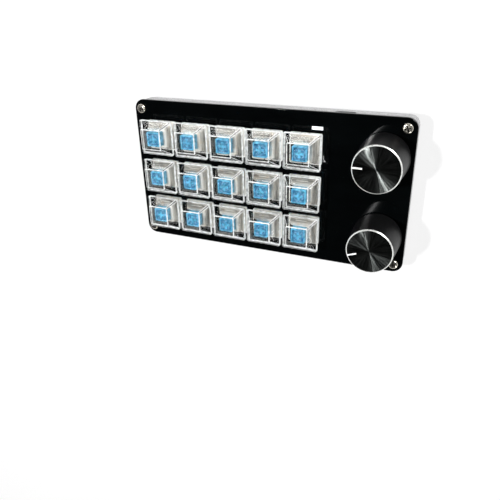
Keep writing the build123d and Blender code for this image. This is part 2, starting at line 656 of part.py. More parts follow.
def encoder_cover():
    low = -SWITCH_SEAT + ENC_H
    sheet = block(0, 0, low, ENC_TOP, ENC_SPAN, ENC_D)
    for side in (-1, 1):
        x = side * (ENC_W / 2 + ENC_TAB_T / 2)
        sheet += block(x, 0, -SWITCH_SEAT - ENC_TAB_L, ENC_TOP, ENC_TAB_T, ENC_TAB_W)
    return sheet - rod(0, 0, low, ENC_TOP, BUSHING_R + FIT / 2)


def encoder_bushing():
    low = -SWITCH_SEAT + ENC_H
    high = ENC_TOP + BUSHING_H
    tube = rod(0, 0, low, high, BUSHING_R)
    tube = chamfer(tube.edges().group_by(Axis.Z)[-1], BUSHING_CHAMFER)
    return tube - rod(0, 0, low, high, SHAFT_R + FIT)


def encoder_rotor():
    low = -SWITCH_SEAT + ENC_LEDGE + FIT
    hole = TAIL_W + 2 * FIT
    return rod(0, 0, low, low + ROTOR_T, ROTOR_R) - block(0, 0, low, low + ROTOR_T, hole, hole)


def encoder_shaft():
    tail_low = -SWITCH_SEAT + ENC_PIT + KNOB_PRESS + 4 * FIT
    shoulder = tail_low + TAIL_L
    shaft = block(0, 0, tail_low, shoulder, TAIL_W, TAIL_W)
    shaft += rod(0, 0, shoulder, SHAFT_END, SHAFT_R)
    cut_d = SHAFT_R - SHAFT_FLAT
    cut = block(0, -SHAFT_FLAT - cut_d / 2, SHAFT_FLAT_LOW, SHAFT_END, 2 * SHAFT_R, cut_d)
    return shaft - cut


def knob_body():
    """Solid of revolution of the knob's outside."""
    rim = KNOB_RIM_D / 2
    outline = Polyline((0, KNOB_LIFT), (KNOB_BASE_D / 2, KNOB_LIFT), (rim, KNOB_H - KNOB_CHAMFER),
                       (rim - KNOB_CHAMFER, KNOB_H), (0, KNOB_H), close=True)
    section = Plane.XZ * make_face(outline)
    return revolve(section, Axis.Z)


def knob():
    body = knob_body()
    body -= rod(0, 0, KNOB_LIFT, KNOB_ROOM, KNOB_ROOM_R)
    body += rod(0, 0, HUB_LOW, KNOB_ROOM, KNOB_HUB_R)
    bore_top = KNOB_H - KNOB_CROWN
    bore = rod(0, 0, HUB_LOW, bore_top, SHAFT_R + FIT)
    bore -= block(0, -SHAFT_FLAT - FIT - SHAFT_R / 2, HUB_LOW, bore_top, 2 * SHAFT_R, SHAFT_R)
    body -= bore
    tunnel = KNOB_BASE_D / 2
    body -= Pos(0, 0, GRUB_AT) * Rot(90, 0, 0) * Cylinder(GRUB_R + FIT, tunnel, align=LOW)
    mark_l = MARK_L + KNOB_CHAMFER
    body -= block(-KNOB_RIM_D / 2 + mark_l / 2, 0, KNOB_H - MARK_DEPTH, KNOB_H, mark_l, MARK_W)
    return body - Pos(0, 0, KNOB_H) * Cone(DIMPLE_TIP_R, DIMPLE_R, DIMPLE_DEPTH, align=HIGH)


def knob_grub_screw():
    """Set screw against the shaft's flat, with a hexagon socket facing out."""
    screw = Cylinder(GRUB_R, GRUB_L, align=LOW)
    socket = extrude(RegularPolygon(HEX_AF / 2, 6, major_radius=False), HEX_DEPTH)
    screw -= Pos(0, 0, GRUB_L - HEX_DEPTH) * socket
    return Pos(0, -SHAFT_FLAT - FIT, GRUB_AT) * Rot(90, 0, 0) * screw


def build_nodes():
    """Every node of the keypad by name."""
    nodes = {
        "face_plate": face_plate(),
        "side_frame": side_frame(),
        "bottom_cover": bottom_cover(),
        "rubber_feet": rubber_feet(),
        "face_screws": face_screws(),
        "bottom_screws": bottom_screws(),
        "threaded_standoffs": threaded_standoffs(),
        "circuit_board": circuit_board(),
        "switch_lower_housings": on_keys(switch_lower_housing()),
        "switch_upper_housings": on_keys(switch_upper_housing()),
        "switch_springs": on_keys(key_spring()),
        "switch_contacts": on_keys(switch_contacts()),
        "hot_swap_sockets": on_keys(hot_swap_socket()),
        "board_leds": board_leds(),
        "board_components": board_components(),
        "microcontroller": microcontroller(),
        "usb_socket_shell": usb_socket_shell(),
        "usb_socket_tongue": usb_socket_tongue(),
        "status_light_pipe": status_light_pipe(),
        "encoder_bases": on_encoders(encoder_base()),
        "encoder_covers": on_encoders(encoder_cover()),
        "encoder_bushings": on_encoders(encoder_bushing()),
    }
    cap = key_cap()
    stem = key_stem()
    for name, x, y in key_places():
        nodes[f"keycap_{name}"] = Pos(x, y, Z_TOP) * cap
        nodes[f"key_stem_{name}"] = Pos(x, y, Z_TOP) * stem
    turning = {"knob": knob(), "knob_grub_screw": knob_grub_screw(),
               "encoder_shaft": encoder_shaft(), "encoder_rotor": encoder_rotor()}
    for place in KNOB_PLACES:
        for name, piece in turning.items():
            nodes[f"{name}_{place}"] = at_encoder(place, piece)
    return nodes


os.makedirs("parts", exist_ok=True)
for node, shape in build_nodes().items():
    export_step(shape, f"parts/{node}.step")
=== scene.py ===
from math import atan2, cos, hypot, pi, radians, sin, tau

import bmesh
import bpy
from bpy.props import FloatProperty, FloatVectorProperty, IntProperty, PointerProperty
from mathutils import Euler, Matrix, Vector


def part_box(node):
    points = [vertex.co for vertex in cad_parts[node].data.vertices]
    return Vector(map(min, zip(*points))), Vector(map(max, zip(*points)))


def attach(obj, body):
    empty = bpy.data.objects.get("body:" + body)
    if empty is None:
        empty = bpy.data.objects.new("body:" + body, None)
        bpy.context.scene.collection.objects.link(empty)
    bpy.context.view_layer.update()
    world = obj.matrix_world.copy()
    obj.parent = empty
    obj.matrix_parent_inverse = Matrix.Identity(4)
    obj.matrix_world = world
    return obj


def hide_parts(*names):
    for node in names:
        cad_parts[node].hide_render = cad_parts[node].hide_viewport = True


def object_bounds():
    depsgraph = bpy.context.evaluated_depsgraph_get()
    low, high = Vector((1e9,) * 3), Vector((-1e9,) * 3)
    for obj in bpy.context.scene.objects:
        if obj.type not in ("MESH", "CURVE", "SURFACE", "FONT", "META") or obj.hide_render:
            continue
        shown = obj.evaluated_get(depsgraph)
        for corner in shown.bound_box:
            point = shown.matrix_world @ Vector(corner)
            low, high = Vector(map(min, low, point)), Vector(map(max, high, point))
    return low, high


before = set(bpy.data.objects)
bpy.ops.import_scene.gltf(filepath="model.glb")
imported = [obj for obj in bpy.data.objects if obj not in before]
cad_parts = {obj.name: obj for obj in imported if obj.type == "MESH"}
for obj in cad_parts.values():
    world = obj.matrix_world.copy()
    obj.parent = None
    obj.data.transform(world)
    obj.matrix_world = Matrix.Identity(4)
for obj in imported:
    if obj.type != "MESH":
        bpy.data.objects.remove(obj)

bl_info = {
    "name": "Macro keypad",
    "version": (1, 0, 0),
    "blender": (4, 5, 0),
    "location": "View3D > Sidebar > Keypad",
    "description": "Dresses the frame of a macro keypad with clear-capped keys and turned knobs",
    "category": "Object",
}

# ---- places read from the frame, in metres ----
CAD_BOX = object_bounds()
PLATE_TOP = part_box("face_plate")[1][2]
CAP_LOW, CAP_HIGH = (Vector(corner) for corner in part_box("keycap_r1c1"))
HOUSING_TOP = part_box("switch_upper_housings")[1][2]
STEM_LOW, STEM_HIGH = (Vector(corner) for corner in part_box("key_stem_r1c1"))
KNOB_LOW, KNOB_HIGH = (Vector(corner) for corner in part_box("knob_rear"))
SCREW_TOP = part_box("face_screws")[1][2]
KNOB_TURNS = {"rear": 0.0, "front": radians(19)}
SCREW_TURNS = {(1, 1): radians(20), (-1, 1): radians(65), (-1, -1): radians(40), (1, -1): radians(10)}


def middle(node):
    """Centre of a node's box."""
    low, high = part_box(node)
    return (Vector(low) + Vector(high)) / 2


KEY_NAMES = sorted(node[len("keycap_"):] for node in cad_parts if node.startswith("keycap_"))
KEY_PLACES = {name: middle(f"keycap_{name}") for name in KEY_NAMES}
COLUMNS = sorted({round(place.x, 6) for place in KEY_PLACES.values()})
ROWS = sorted({round(place.y, 6) for place in KEY_PLACES.values()})
KNOB_PLACES = {name: middle(f"encoder_rotor_{name}") for name in ("rear", "front")}


def one_key(node):
    """Width and depth at one key of a node that is repeated over the whole field."""
    low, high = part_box(node)
    return high[0] - low[0] - COLUMNS[-1] + COLUMNS[0], high[1] - low[1] - ROWS[-1] + ROWS[0]


# ---- sizes and colours ----
def length(name, description, default):
    return FloatProperty(name=name, description=description, default=default, unit="LENGTH",
                         precision=5, min=0.0)


def colour(name, description, default):
    return FloatVectorProperty(name=name, description=description, default=default, subtype="COLOR",
                               size=3, min=0.0, max=1.0)


class KeypadCase(bpy.types.PropertyGroup):
    edge_round: length("Edge rounding", "Bevel on the plate's and the case's edges", 0.00012)
    head_radius: length("Screw head radius", "Radius of the corner screws' heads", 0.00225)
    head_height: length("Screw head height", "Height of the corner screws' heads",
                        SCREW_TOP - PLATE_TOP)
    recess_width: length("Recess width", "Width of the cross recess's slots", 0.0007)
    recess_depth: length("Recess depth", "Depth of the cross recess", 0.001)
    plate_colour: colour("Plate", "Polished face plate", (0.0006, 0.0009, 0.001))
    frame_colour: colour("Frame", "Side frame", (0.34, 0.34, 0.345))
    cover_colour: colour("Cover", "Bottom cover", (0.02, 0.02, 0.021))
    rubber_colour: colour("Rubber", "Feet", (0.022, 0.022, 0.023))
    nickel_colour: colour("Nickel", "Corner screws", (0.84, 0.80, 0.70))


class KeypadKeys(bpy.types.PropertyGroup):
    cap_wall: length("Cap wall", "Thickness of the keycap's side walls", 0.00115)
    cap_lip: length("Cap lip", "Upright part of the keycap's skirt", 0.0011)
    cap_roof: length("Cap roof", "Thickness of the keycap's top", 0.0014)
    cap_top_width: length("Cap top width", "Width of the keycap's top face", 0.0105)
    cap_top_depth: length("Cap top depth", "Depth of the keycap's top face", 0.0099)
    cap_top_back: length("Cap top shift", "Top face's middle behind the skirt's", 0.00035)
    cap_base_round: length("Cap skirt corners", "Radius of the skirt's corners", 0.0011)
    cap_top_round: length("Cap top corners", "Radius of the top face's corners", 0.0007)
    cap_round: length("Cap rounding", "Rounding of the keycap's top edge", 0.0003)
    post_radius: length("Post radius", "Radius of the keycap's central post", 0.0027)
    stem_width: length("Stem width", "Outside of the stem's square collar", 0.007)
    stem_wall: length("Stem wall", "Wall of the stem's square collar", 0.0006)
    cross_length: length("Cross length", "Length of the stem's cross", 0.004)
    cross_width: length("Cross width", "Width of the stem's cross", 0.0012)
    flange_height: length("Flange height", "Thickness of the switch's flange", 0.0009)
    notch_width: length("Notch width", "Width of the clip notches in the flange", 0.0007)
    body_width: length("Body width", "Width of the switch below the plate", 0.01395)
    pole_radius: length("Pole radius", "Radius of the pole under the switch", 0.00195)
    guide_radius: length("Guide radius", "Radius of the bore for the stem's guide pin", 0.0016)
    neck_width: length("Neck width", "Width of the upper housing's top", 0.0104)
    neck_depth: length("Neck depth", "Depth of the upper housing's top", 0.0093)
    seam_height: length("Seam height", "Moulded step round the upper housing, above the plate", 0.003)
    window_width: length("Window width", "Width of the light window's ledge", 0.0056)
    window_height: length("Window height", "Top of the light window's ledge above the plate", 0.005)
    clear_colour: colour("Clear cap", "Keycaps", (0.95, 0.975, 0.965))
    # painted light: the caps' edges are painted near white, standing in for the light that the clear wall
    # carries to them
    rim_colour: colour("Cap rim", "Keycaps' edges, where the wall shows end-on", (0.93, 0.95, 0.94))
    housing_colour: colour("Upper housing", "Milky clear housing", (0.90, 0.88, 0.82))
    # painted light: amber patches on the clear housing stand in for the brass leaves seen through it
    painted_brass_colour: colour("Amber", "Patches of the upper housing that pick up the brass", (0.9, 0.72, 0.5))
    # painted shade: one dark colour for the housings' shaded sides and for the dark line down a cap's corner
    shade_colour: colour("Housing shade", "Sides of the upper housing that show its inside",
                         (0.02, 0.015, 0.013))
    # painted light: the cap's post is painted in the stem's blue and glows, standing in for the stem seen
    # through the clear post
    post_painted_colour: colour("Cap post", "Post in the keycap, tinted by the stem", (0.08, 0.36, 0.54))
    flange_colour: colour("Lower housing", "White housing", (0.86, 0.85, 0.80))
    stem_colour: colour("Stem", "Sliding stem", (0.11, 0.42, 0.62))
    leaf_colour: colour("Leaf", "Brass leaves", (0.86, 0.42, 0.14))


class KeypadKnobs(bpy.types.PropertyGroup):
    rim_radius: length("Rim radius", "Outer edge of the bright chamfer", 0.0106)
    rim_width: length("Rim width", "Width and height of the bright chamfer", 0.0005)
    room_height: length("Hollow", "Height of the hollow above the plate", 0.0076)
    room_radius: length("Hollow radius", "Radius of the hollow", 0.0092)
    hub_radius: length("Hub radius", "Radius of the hub", 0.005)
    bore_radius: length("Bore radius", "Radius of the shaft's bore", 0.00305)
    mark_length: length("Mark length", "Length of the white mark", 0.0042)
    mark_width: length("Mark width", "Width of the white mark", 0.00075)
    top_colour: colour("Top", "Spun top face", (0.14, 0.15, 0.145))
    wall_colour: colour("Wall", "Anodised wall", (0.008, 0.008, 0.0085))
    rim_colour: colour("Rim", "Bright cut chamfer", (0.86, 0.87, 0.84))
    mark_colour: colour("Mark", "Filled mark", (0.9, 0.9, 0.9))
    segments: IntProperty(name="Segments", description="Steps round a turned surface", default=160,
                          min=24, max=512)


class KeypadStage(bpy.types.PropertyGroup):
    camera_place: FloatVectorProperty(name="Camera", description="Where the camera stands",
                                      default=(0.093266, 0.090332, 0.246733), subtype="TRANSLATION",
                                      unit="LENGTH", precision=5)
    camera_turn: FloatVectorProperty(name="Camera turn", description="The camera's rotation",
                                     default=(radians(-27.253), radians(22.806), radians(-1.297)),
                                     subtype="EULER", unit="ROTATION")
    camera_lens: FloatProperty(name="Lens", description="Focal length in millimetres", default=38.795)
    floor_reach: length("Floor", "Half width of the floor", 4.0)
    floor_colour: colour("Floor colour", "Pale floor", (0.93, 0.93, 0.93))
    key_power: FloatProperty(name="Key lamp", description="Power of the overhead lamp", default=9.0,
                             min=0.0, unit="POWER")
    side_power: FloatProperty(name="Side lamp", description="Power of the front lamp", default=1.4,
                              min=0.0, unit="POWER")
    back_power: FloatProperty(name="Back lamp", description="Power of the low lamp at the back",
                              default=5.0, min=0.0, unit="POWER")
    horizon: FloatProperty(name="Horizon", description="Strength of the world near the horizon",
                           default=0.8, min=0.0)
    zenith: FloatProperty(name="Zenith", description="Strength of the world overhead", default=0.02,
                          min=0.0)


def case():
    return bpy.context.scene.keypad_case


def keys():
    return bpy.context.scene.keypad_keys


def knobs():
    return bpy.context.scene.keypad_knobs


def stage():
    return bpy.context.scene.keypad_stage


# ---- outlines ----
ARC_STEPS = 6
SIDE_POINTS = 5
QUARTER = ARC_STEPS + 1 + SIDE_POINTS
RING_POINTS = 4 * QUARTER
# where a ring's left and front sides start and end, counted in its points
LEFT_FROM = QUARTER + ARC_STEPS // 2
FRONT_FROM, FRONT_TO = LEFT_FROM + QUARTER, LEFT_FROM + 2 * QUARTER


def level_ring(width, depth, radius, z, shift=0.0):
    """Points round a rounded rectangle at one height, counter-clockwise from its +X side."""
    reach_x, reach_y = width / 2 - radius, depth / 2 - radius
    centres = [(reach_x, reach_y), (-reach_x, reach_y), (-reach_x, -reach_y), (reach_x, -reach_y)]
    arcs = []
    for quarter, (x, y) in enumerate(centres):
        angles = [(quarter + step / ARC_STEPS) * pi / 2 for step in range(ARC_STEPS + 1)]
        arcs.append([Vector((x + radius * cos(a), y + shift + radius * sin(a), z)) for a in angles])
    points = []
    for arc, following in zip(arcs, arcs[1:] + arcs[:1]):
        points += arc
        points += [arc[-1].lerp(following[0], step / (SIDE_POINTS + 1)) for step in range(1, SIDE_POINTS + 1)]
    return points


def square_ring(width, radius, z):
    return level_ring(width, width, radius, z)


def round_ring(radius, like, z):
    """Points round a circle, each at the same angle as its neighbour in another ring."""
    return [Vector((radius * point.x / hypot(point.x, point.y),
                    radius * point.y / hypot(point.x, point.y), z)) for point in like]


def cross_ring(span, width, z):
    """Points round a cross, as many and in the same order as a rounded square has."""
    tip, side = span / 2, width / 2
    corners = [(tip, side), (side, side), (side, tip), (-side, tip)]
    steps = RING_POINTS // 12
    points = []
    for quarter in range(4):
        turn = Matrix.Rotation(quarter * pi / 2, 3, "Z")
        for start, end in zip(corners, corners[1:]):
            for step in range(steps):
                here = Vector((*start, z)).lerp(Vector((*end, z)), step / steps)
                points.append(turn @ here)
    return points


def circle_ring(radius, z, count, place=(0.0, 0.0)):
    """Points round a circle at one height."""
    return [Vector((place[0] + radius * cos(tau * i / count), place[1] + radius * sin(tau * i / count), z))
            for i in range(count)]


# ---- meshes ----
BEVEL_STEPS = 2
BEVEL_FROM = radians(30)
MERGE_DISTANCE = 1e-6
FLAT_WITHIN = radians(0.5)


def band(bm, low, high, row=(0,)):
    """Faces between two loops, with a row of material numbers that repeats round them."""
    for i in range(len(low)):
        j = (i + 1) % len(low)
        face = bm.faces.new((low[i], low[j], high[j], high[i]))
        face.material_index = row[i % len(row)]


def skin(bm, rings, materials=None, start=False, end=False):
    """Faces between neighbouring rings, each band of them with its row of material numbers."""
    loops = [[bm.verts.new(point) for point in ring] for ring in rings]
    for low, high, row in zip(loops, loops[1:], materials or [(0,)] * len(loops)):
        band(bm, low, high, row)
    if start:
        bm.faces.new(list(reversed(loops[0])))
    if end:
        bm.faces.new(loops[-1])
    return loops


def box_into(bm, place, size):
    """An upright box about a place."""
    turn = Matrix.LocRotScale(Vector(place), None, Vector(size))
    bmesh.ops.create_cube(bm, size=1.0, matrix=turn)


def smoothed(mesh, crease=35.0):
    """Smooth faces with sharp creases from an angle in degrees upwards."""
    mesh.shade_smooth()
    mesh.set_sharp_from_angle(angle=radians(crease))


def new_object(name, bm, materials, crease=35.0, recalc=True):
    """A mesh object at the origin with smooth faces and sharp creases."""
    if recalc:
        bmesh.ops.recalc_face_normals(bm, faces=bm.faces)
    mesh = bpy.data.meshes.new(name)
    bm.to_mesh(mesh)
    bm.free()
    smoothed(mesh, crease)
    for material in materials:
        mesh.materials.append(material)
    return placed(name, mesh)


def rounded(obj, width):
    """Rounds an object's sharp edges for good, in its mesh."""
    bevel = obj.modifiers.new("Rounding", "BEVEL")
    bevel.width = width
    bevel.segments = BEVEL_STEPS
    bevel.limit_method = "ANGLE"
    bevel.angle_limit = BEVEL_FROM
    flatten(obj)
    smoothed(obj.data, 40.0)
    weigh = obj.modifiers.new("Flat faces", "WEIGHTED_NORMAL")
    weigh.keep_sharp = True
    flatten(obj)


def placed(name, data):
    """A new object in the scene."""
    obj = bpy.data.objects.new(name, data)
    bpy.context.scene.collection.objects.link(obj)
    return obj


def flatten(obj):
    """Turns what an object's modifiers make into its own plain mesh."""
    graph = bpy.context.evaluated_depsgraph_get()
    graph.update()
    mesh = bpy.data.meshes.new_from_object(obj.evaluated_get(graph))
    obj.modifiers.clear()
    obj.data = mesh


def cut(obj, tool):
    """Takes one object's shape out of another and deletes the tool."""
    boolean = obj.modifiers.new("Cut", "BOOLEAN")
    boolean.operation = "DIFFERENCE"
    boolean.solver = "EXACT"
    boolean.object = tool
    flatten(obj)
    bpy.data.objects.remove(tool)


def joined(obj, other):
    """Adds a second object's mesh to the first and deletes the second."""
    bm = bmesh.new()
    for source in (obj, other):
        bm.from_mesh(source.data)
    bm.to_mesh(obj.data)
    bm.free()
    bpy.data.objects.remove(other)
    smoothed(obj.data)
    return obj


def fine_copy(node, name, material, edge):
    """A merged copy of a rigid node's mesh with rounded edges, which stands for the node."""
    bm = bmesh.new()
    bm.from_mesh(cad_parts[node].data)
    bmesh.ops.remove_doubles(bm, verts=bm.verts, dist=MERGE_DISTANCE)
    bmesh.ops.dissolve_limit(bm, angle_limit=FLAT_WITHIN, verts=bm.verts, edges=bm.edges)
    obj = new_object(name, bm, [material], recalc=False)
    if edge > 0:
        rounded(obj, edge)
    return obj


def dress(node, material):
    """Gives a node that stays its finish."""
    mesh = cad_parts[node].data
    mesh.materials.clear()
    mesh.materials.append(material)


def mark_faces(obj):
    """Turns the faces' material numbers into named marks, which the node trees read."""
    numbers = [polygon.material_index for polygon in obj.data.polygons]
    for mark, label in enumerate(MARKS, 1):
        layer = obj.data.attributes.new(label, "BOOLEAN", "FACE")
        layer.data.foreach_set("value", [number == mark for number in numbers])
    return obj


# ---- nodes ----
def feed(tree, socket, value):
    """Links an output to a socket, or sets the socket to a constant."""
    if isinstance(value, bpy.types.NodeSocket):
        tree.links.new(value, socket)
    else:
        socket.default_value = value


def fill(tree, node, **inputs):
    """Feeds a node's sockets by name, with _ for each space."""
    for label, value in inputs.items():
        feed(tree, node.inputs[label.replace("_", " ")], value)
    return node


def add(tree, kind, **inputs):
    """A new node with its sockets fed."""
    return fill(tree, tree.nodes.new(kind), **inputs)


def stored(tree, name, kind):
    """An attribute that the mesh carries."""
    node = add(tree, "GeometryNodeInputNamedAttribute", Name=name)
    node.data_type = kind
    return node.outputs["Attribute"]


# ---- geometry node trees ----
# marks for painted light and shade: Rim faces get painted light, Core faces the glowing post, Shade faces
# painted shade
MARKS = ("Rim", "Core", "Shade")
RIM, CORE, SHADE = range(1, len(MARKS) + 1)
FINISHES = [(label, "NodeSocketMaterial") for label in ("Finish", *MARKS)]


def tree_with_inputs(name, sockets):
    tree = bpy.data.node_groups.new(name, "GeometryNodeTree")
    tree.interface.new_socket("Geometry", in_out="INPUT", socket_type="NodeSocketGeometry")
    for label, kind in sockets:
        tree.interface.new_socket(label, in_out="INPUT", socket_type=kind)
    tree.interface.new_socket("Geometry", in_out="OUTPUT", socket_type="NodeSocketGeometry")
    entry = tree.nodes.new("NodeGroupInput")
    leave = tree.nodes.new("NodeGroupOutput")
    return tree, entry, leave


def finish_tree(tree, entry, leave, geometry):
    """Ends a tree in Realize Instances and Set Material, once more for each kind of marked face."""
    last = add(tree, "GeometryNodeRealizeInstances", Geometry=geometry).outputs["Geometry"]
    for label, _ in FINISHES:
        paint = add(tree, "GeometryNodeSetMaterial", Geometry=last, Material=entry.outputs[label])
        if label in MARKS:
            fill(tree, paint, Selection=stored(tree, label, "BOOLEAN"))
        last = paint.outputs["Geometry"]
    fill(tree, leave, Geometry=last)
    return tree


def math_node(tree, operation, *values):
    node = tree.nodes.new("ShaderNodeMath")
    node.operation = operation
    for socket, value in zip(node.inputs, values):
        feed(tree, socket, value)
    return node.outputs[0]


def key_grid_tree():
    """A template at every key, from the field's counts, pitches and first corner."""
    tree, entry, leave = tree_with_inputs("Key grid", [
        ("Template", "NodeSocketObject"), ("Columns", "NodeSocketInt"), ("Rows", "NodeSocketInt"),
        ("Pitch X", "NodeSocketFloat"), ("Pitch Y", "NodeSocketFloat"), ("First key", "NodeSocketVector"),
        *FINISHES])
    out = entry.outputs
    spans = [math_node(tree, "MULTIPLY", math_node(tree, "SUBTRACT", out[count], 1), out[pitch])
             for count, pitch in (("Columns", "Pitch X"), ("Rows", "Pitch Y"))]
    half_x, half_y = (math_node(tree, "MULTIPLY", span, 0.5) for span in spans)
    grid = add(tree, "GeometryNodeMeshGrid", Size_X=spans[0], Size_Y=spans[1], Vertices_X=out["Columns"],
               Vertices_Y=out["Rows"])
    centre = add(tree, "ShaderNodeCombineXYZ", X=half_x, Y=half_y)
    corner = tree.nodes.new("ShaderNodeVectorMath")
    feed(tree, corner.inputs[0], centre.outputs[0])
    feed(tree, corner.inputs[1], out["First key"])
    shift = add(tree, "GeometryNodeTransform", Geometry=grid.outputs["Mesh"], Translation=corner.outputs[0])
    source = add(tree, "GeometryNodeObjectInfo", Object=out["Template"])
    copies = add(tree, "GeometryNodeInstanceOnPoints", Points=shift.outputs["Geometry"],
                 Instance=source.outputs["Geometry"])
    return finish_tree(tree, entry, leave, copies.outputs["Instances"])


def one_key_tree():
    """A template at one key."""
    tree, entry, leave = tree_with_inputs("One key", [
        ("Template", "NodeSocketObject"), ("Place", "NodeSocketVector"), *FINISHES])
    source = add(tree, "GeometryNodeObjectInfo", Object=entry.outputs["Template"])
    move = add(tree, "GeometryNodeTransform", Geometry=source.outputs["Geometry"],
               Translation=entry.outputs["Place"])
    return finish_tree(tree, entry, leave, move.outputs["Geometry"])


def points_tree():
    """A template at each point of the mesh, turned by the point's own angle."""
    tree, entry, leave = tree_with_inputs("On points", [("Template", "NodeSocketObject"), *FINISHES])
    source = add(tree, "GeometryNodeObjectInfo", Object=entry.outputs["Template"])
    angles = add(tree, "ShaderNodeCombineXYZ", Z=stored(tree, "turn", "FLOAT"))
    copies = add(tree, "GeometryNodeInstanceOnPoints", Points=entry.outputs["Geometry"],
                 Instance=source.outputs["Geometry"], Rotation=angles.outputs[0])
    return finish_tree(tree, entry, leave, copies.outputs["Instances"])


def grown(name, tree, points, inputs):
    """An object whose tree has been run and turned into a plain mesh."""
    mesh = bpy.data.meshes.new(name)
    mesh.from_pydata([tuple(point[:3]) for point in points], [], [])
    if points and len(points[0]) == 4:
        turn = mesh.attributes.new("turn", "FLOAT", "POINT")
        turn.data.foreach_set("value", [point[3] for point in points])
    obj = placed(name, mesh)
    modifier = obj.modifiers.new("Copies", "NODES")
    modifier.node_group = tree
    for item in tree.interface.items_tree:
        if item.item_type == "SOCKET" and item.in_out == "INPUT" and item.name in inputs:
            modifier[item.identifier] = inputs[item.name]
    flatten(obj)
    return obj


def grid_inputs(template, finishes):
    return {"Template": template, "Columns": len(COLUMNS), "Rows": len(ROWS),
            "Pitch X": COLUMNS[1] - COLUMNS[0], "Pitch Y": ROWS[1] - ROWS[0],
            "First key": (COLUMNS[0], ROWS[0], 0.0), **finishes}


# ---- finishes ----
NOISE_ROUGHNESS = 0.55
FLOOR_GLOW = 0.8
WHITE = (1.0, 1.0, 1.0, 1.0)
TURNING = "turning"


def shader_of(name, base, roughness, **constants):
    """A material with one Principled shader and constant sockets."""
    material = bpy.data.materials.new(name)
    material.use_nodes = True
    tree = material.node_tree
    shader = next(node for node in tree.nodes if node.type == "BSDF_PRINCIPLED")
    return material, tree, fill(tree, shader, Base_Color=(*base, 1.0), Roughness=roughness, **constants)


def noise(tree, scale, detail, stretch=(1.0, 1.0, 1.0), place=(0.0, 0.0, 0.0)):
    """Noise on the object's own coordinates."""
    coords = tree.nodes.new("ShaderNodeTexCoord")
    mapping = add(tree, "ShaderNodeMapping", Vector=coords.outputs["Object"], Location=place, Scale=stretch)
    return add(tree, "ShaderNodeTexNoise", Vector=mapping.outputs["Vector"], Scale=scale, Detail=detail,
               Roughness=NOISE_ROUGHNESS).outputs["Fac"]


def spread(tree, value, low, high, start=0.3, end=0.7):
    """A value mapped to a range."""
    return add(tree, "ShaderNodeMapRange", Value=value, From_Min=start, From_Max=end, To_Min=low,
               To_Max=high).outputs["Result"]


def tint(tree, value, first, second, low=0.3, high=0.7):
    """A colour between two, by a value."""
    ramp = add(tree, "ShaderNodeValToRGB", Fac=value)
    for index, (position, level) in enumerate(((low, first), (high, second))):
        ramp.color_ramp.elements[index].position = position
        ramp.color_ramp.elements[index].color = (*level, 1.0)
    return ramp.outputs["Color"]


def bump(tree, shader, height, strength, distance):
    relief = add(tree, "ShaderNodeBump", Height=height, Strength=strength, Distance=distance)
    fill(tree, shader, Normal=relief.outputs["Normal"])


def shade(base, factor):
    return tuple(min(1.0, channel * factor) for channel in base)


def grained(name, base, roughness, pattern, gloss, tones=None, relief=None, stretch=(1.0, 1.0, 1.0),
            **constants):
    """A material whose gloss, tone and relief all follow one noise.

    pattern is the noise's scale and detail, and gloss the range of the roughness. tones is the range of the
    colour's brightness, with the noise's values at its two ends where they aren't tint's own. relief is a
    bump's strength and distance.
    """
    base = tuple(base)
    material, tree, shader = shader_of(name, base, roughness, **constants)
    grain = noise(tree, *pattern, stretch=stretch)
    fill(tree, shader, Roughness=spread(tree, grain, *gloss))
    if tones:
        dark, light, *ends = tones
        fill(tree, shader, Base_Color=tint(tree, grain, shade(base, dark), shade(base, light), *ends))
    if relief:
        bump(tree, shader, grain, *relief)
    return material


def polished_black():
    """Polished sheet with a trace of wiping marks."""
    base = tuple(case().plate_colour)
    material, tree, shader = shader_of("polished_black", base, 0.05, IOR=1.49, Specular_IOR_Level=0.2)
    smears = noise(tree, 45.0, 4.0, stretch=(1.0, 2.6, 1.0))
    fill(tree, shader, Roughness=spread(tree, smears, 0.04, 0.09),
         Base_Color=tint(tree, smears, base, shade(base, 1.8)))
    bump(tree, shader, noise(tree, 2500.0, 2.0), 0.02, 0.00002)
    return material


def frame_grey():
    """Moulded grey with a satin gloss and faint layers along the wall."""
    base = tuple(case().frame_colour)
    material, tree, shader = shader_of("frame_grey", base, 0.3, IOR=1.5)
    grain = noise(tree, 1800.0, 3.0)
    layers = noise(tree, 260.0, 2.0, stretch=(0.08, 0.08, 2.0))
    fill(tree, shader, Roughness=spread(tree, grain, 0.24, 0.36),
         Base_Color=tint(tree, layers, shade(base, 0.9), shade(base, 1.1)))
    bump(tree, shader, grain, 0.06, 0.00003)
    return material


def textured_black():
    """Matt black with a spark-eroded grain."""
    return grained("textured_black", case().cover_colour, 0.55, pattern=(2600.0, 4.0), gloss=(0.5, 0.68),
                   tones=(0.7, 1.5), relief=(0.35, 0.00006))


def foot_rubber():
    return grained("foot_rubber", case().rubber_colour, 0.8, pattern=(700.0, 5.0), gloss=(0.7, 0.9),
                   tones=(1.0, 1.9), relief=(0.25, 0.00005))


def metal(name, base, roughness):
    """Metal with fine drawn or turned marks."""
    return grained(name, base, roughness, pattern=(900.0, 4.0), gloss=(roughness * 0.75, roughness * 1.35),
                   tones=(0.9, 1.06), relief=(0.05, 0.00002), stretch=(1.0, 1.0, 6.0), Metallic=1.0)


def moulded(name, base, roughness=0.45, scale=1500.0, depth=0.12, **constants):
    """Moulded plastic with a fine grain and a slight change of tone."""
    return grained(name, base, roughness, pattern=(scale, 3.0),
                   gloss=(roughness * 0.85, min(1.0, roughness * 1.2)), tones=(0.9, 1.08),
                   relief=(depth, 0.00002), **constants)


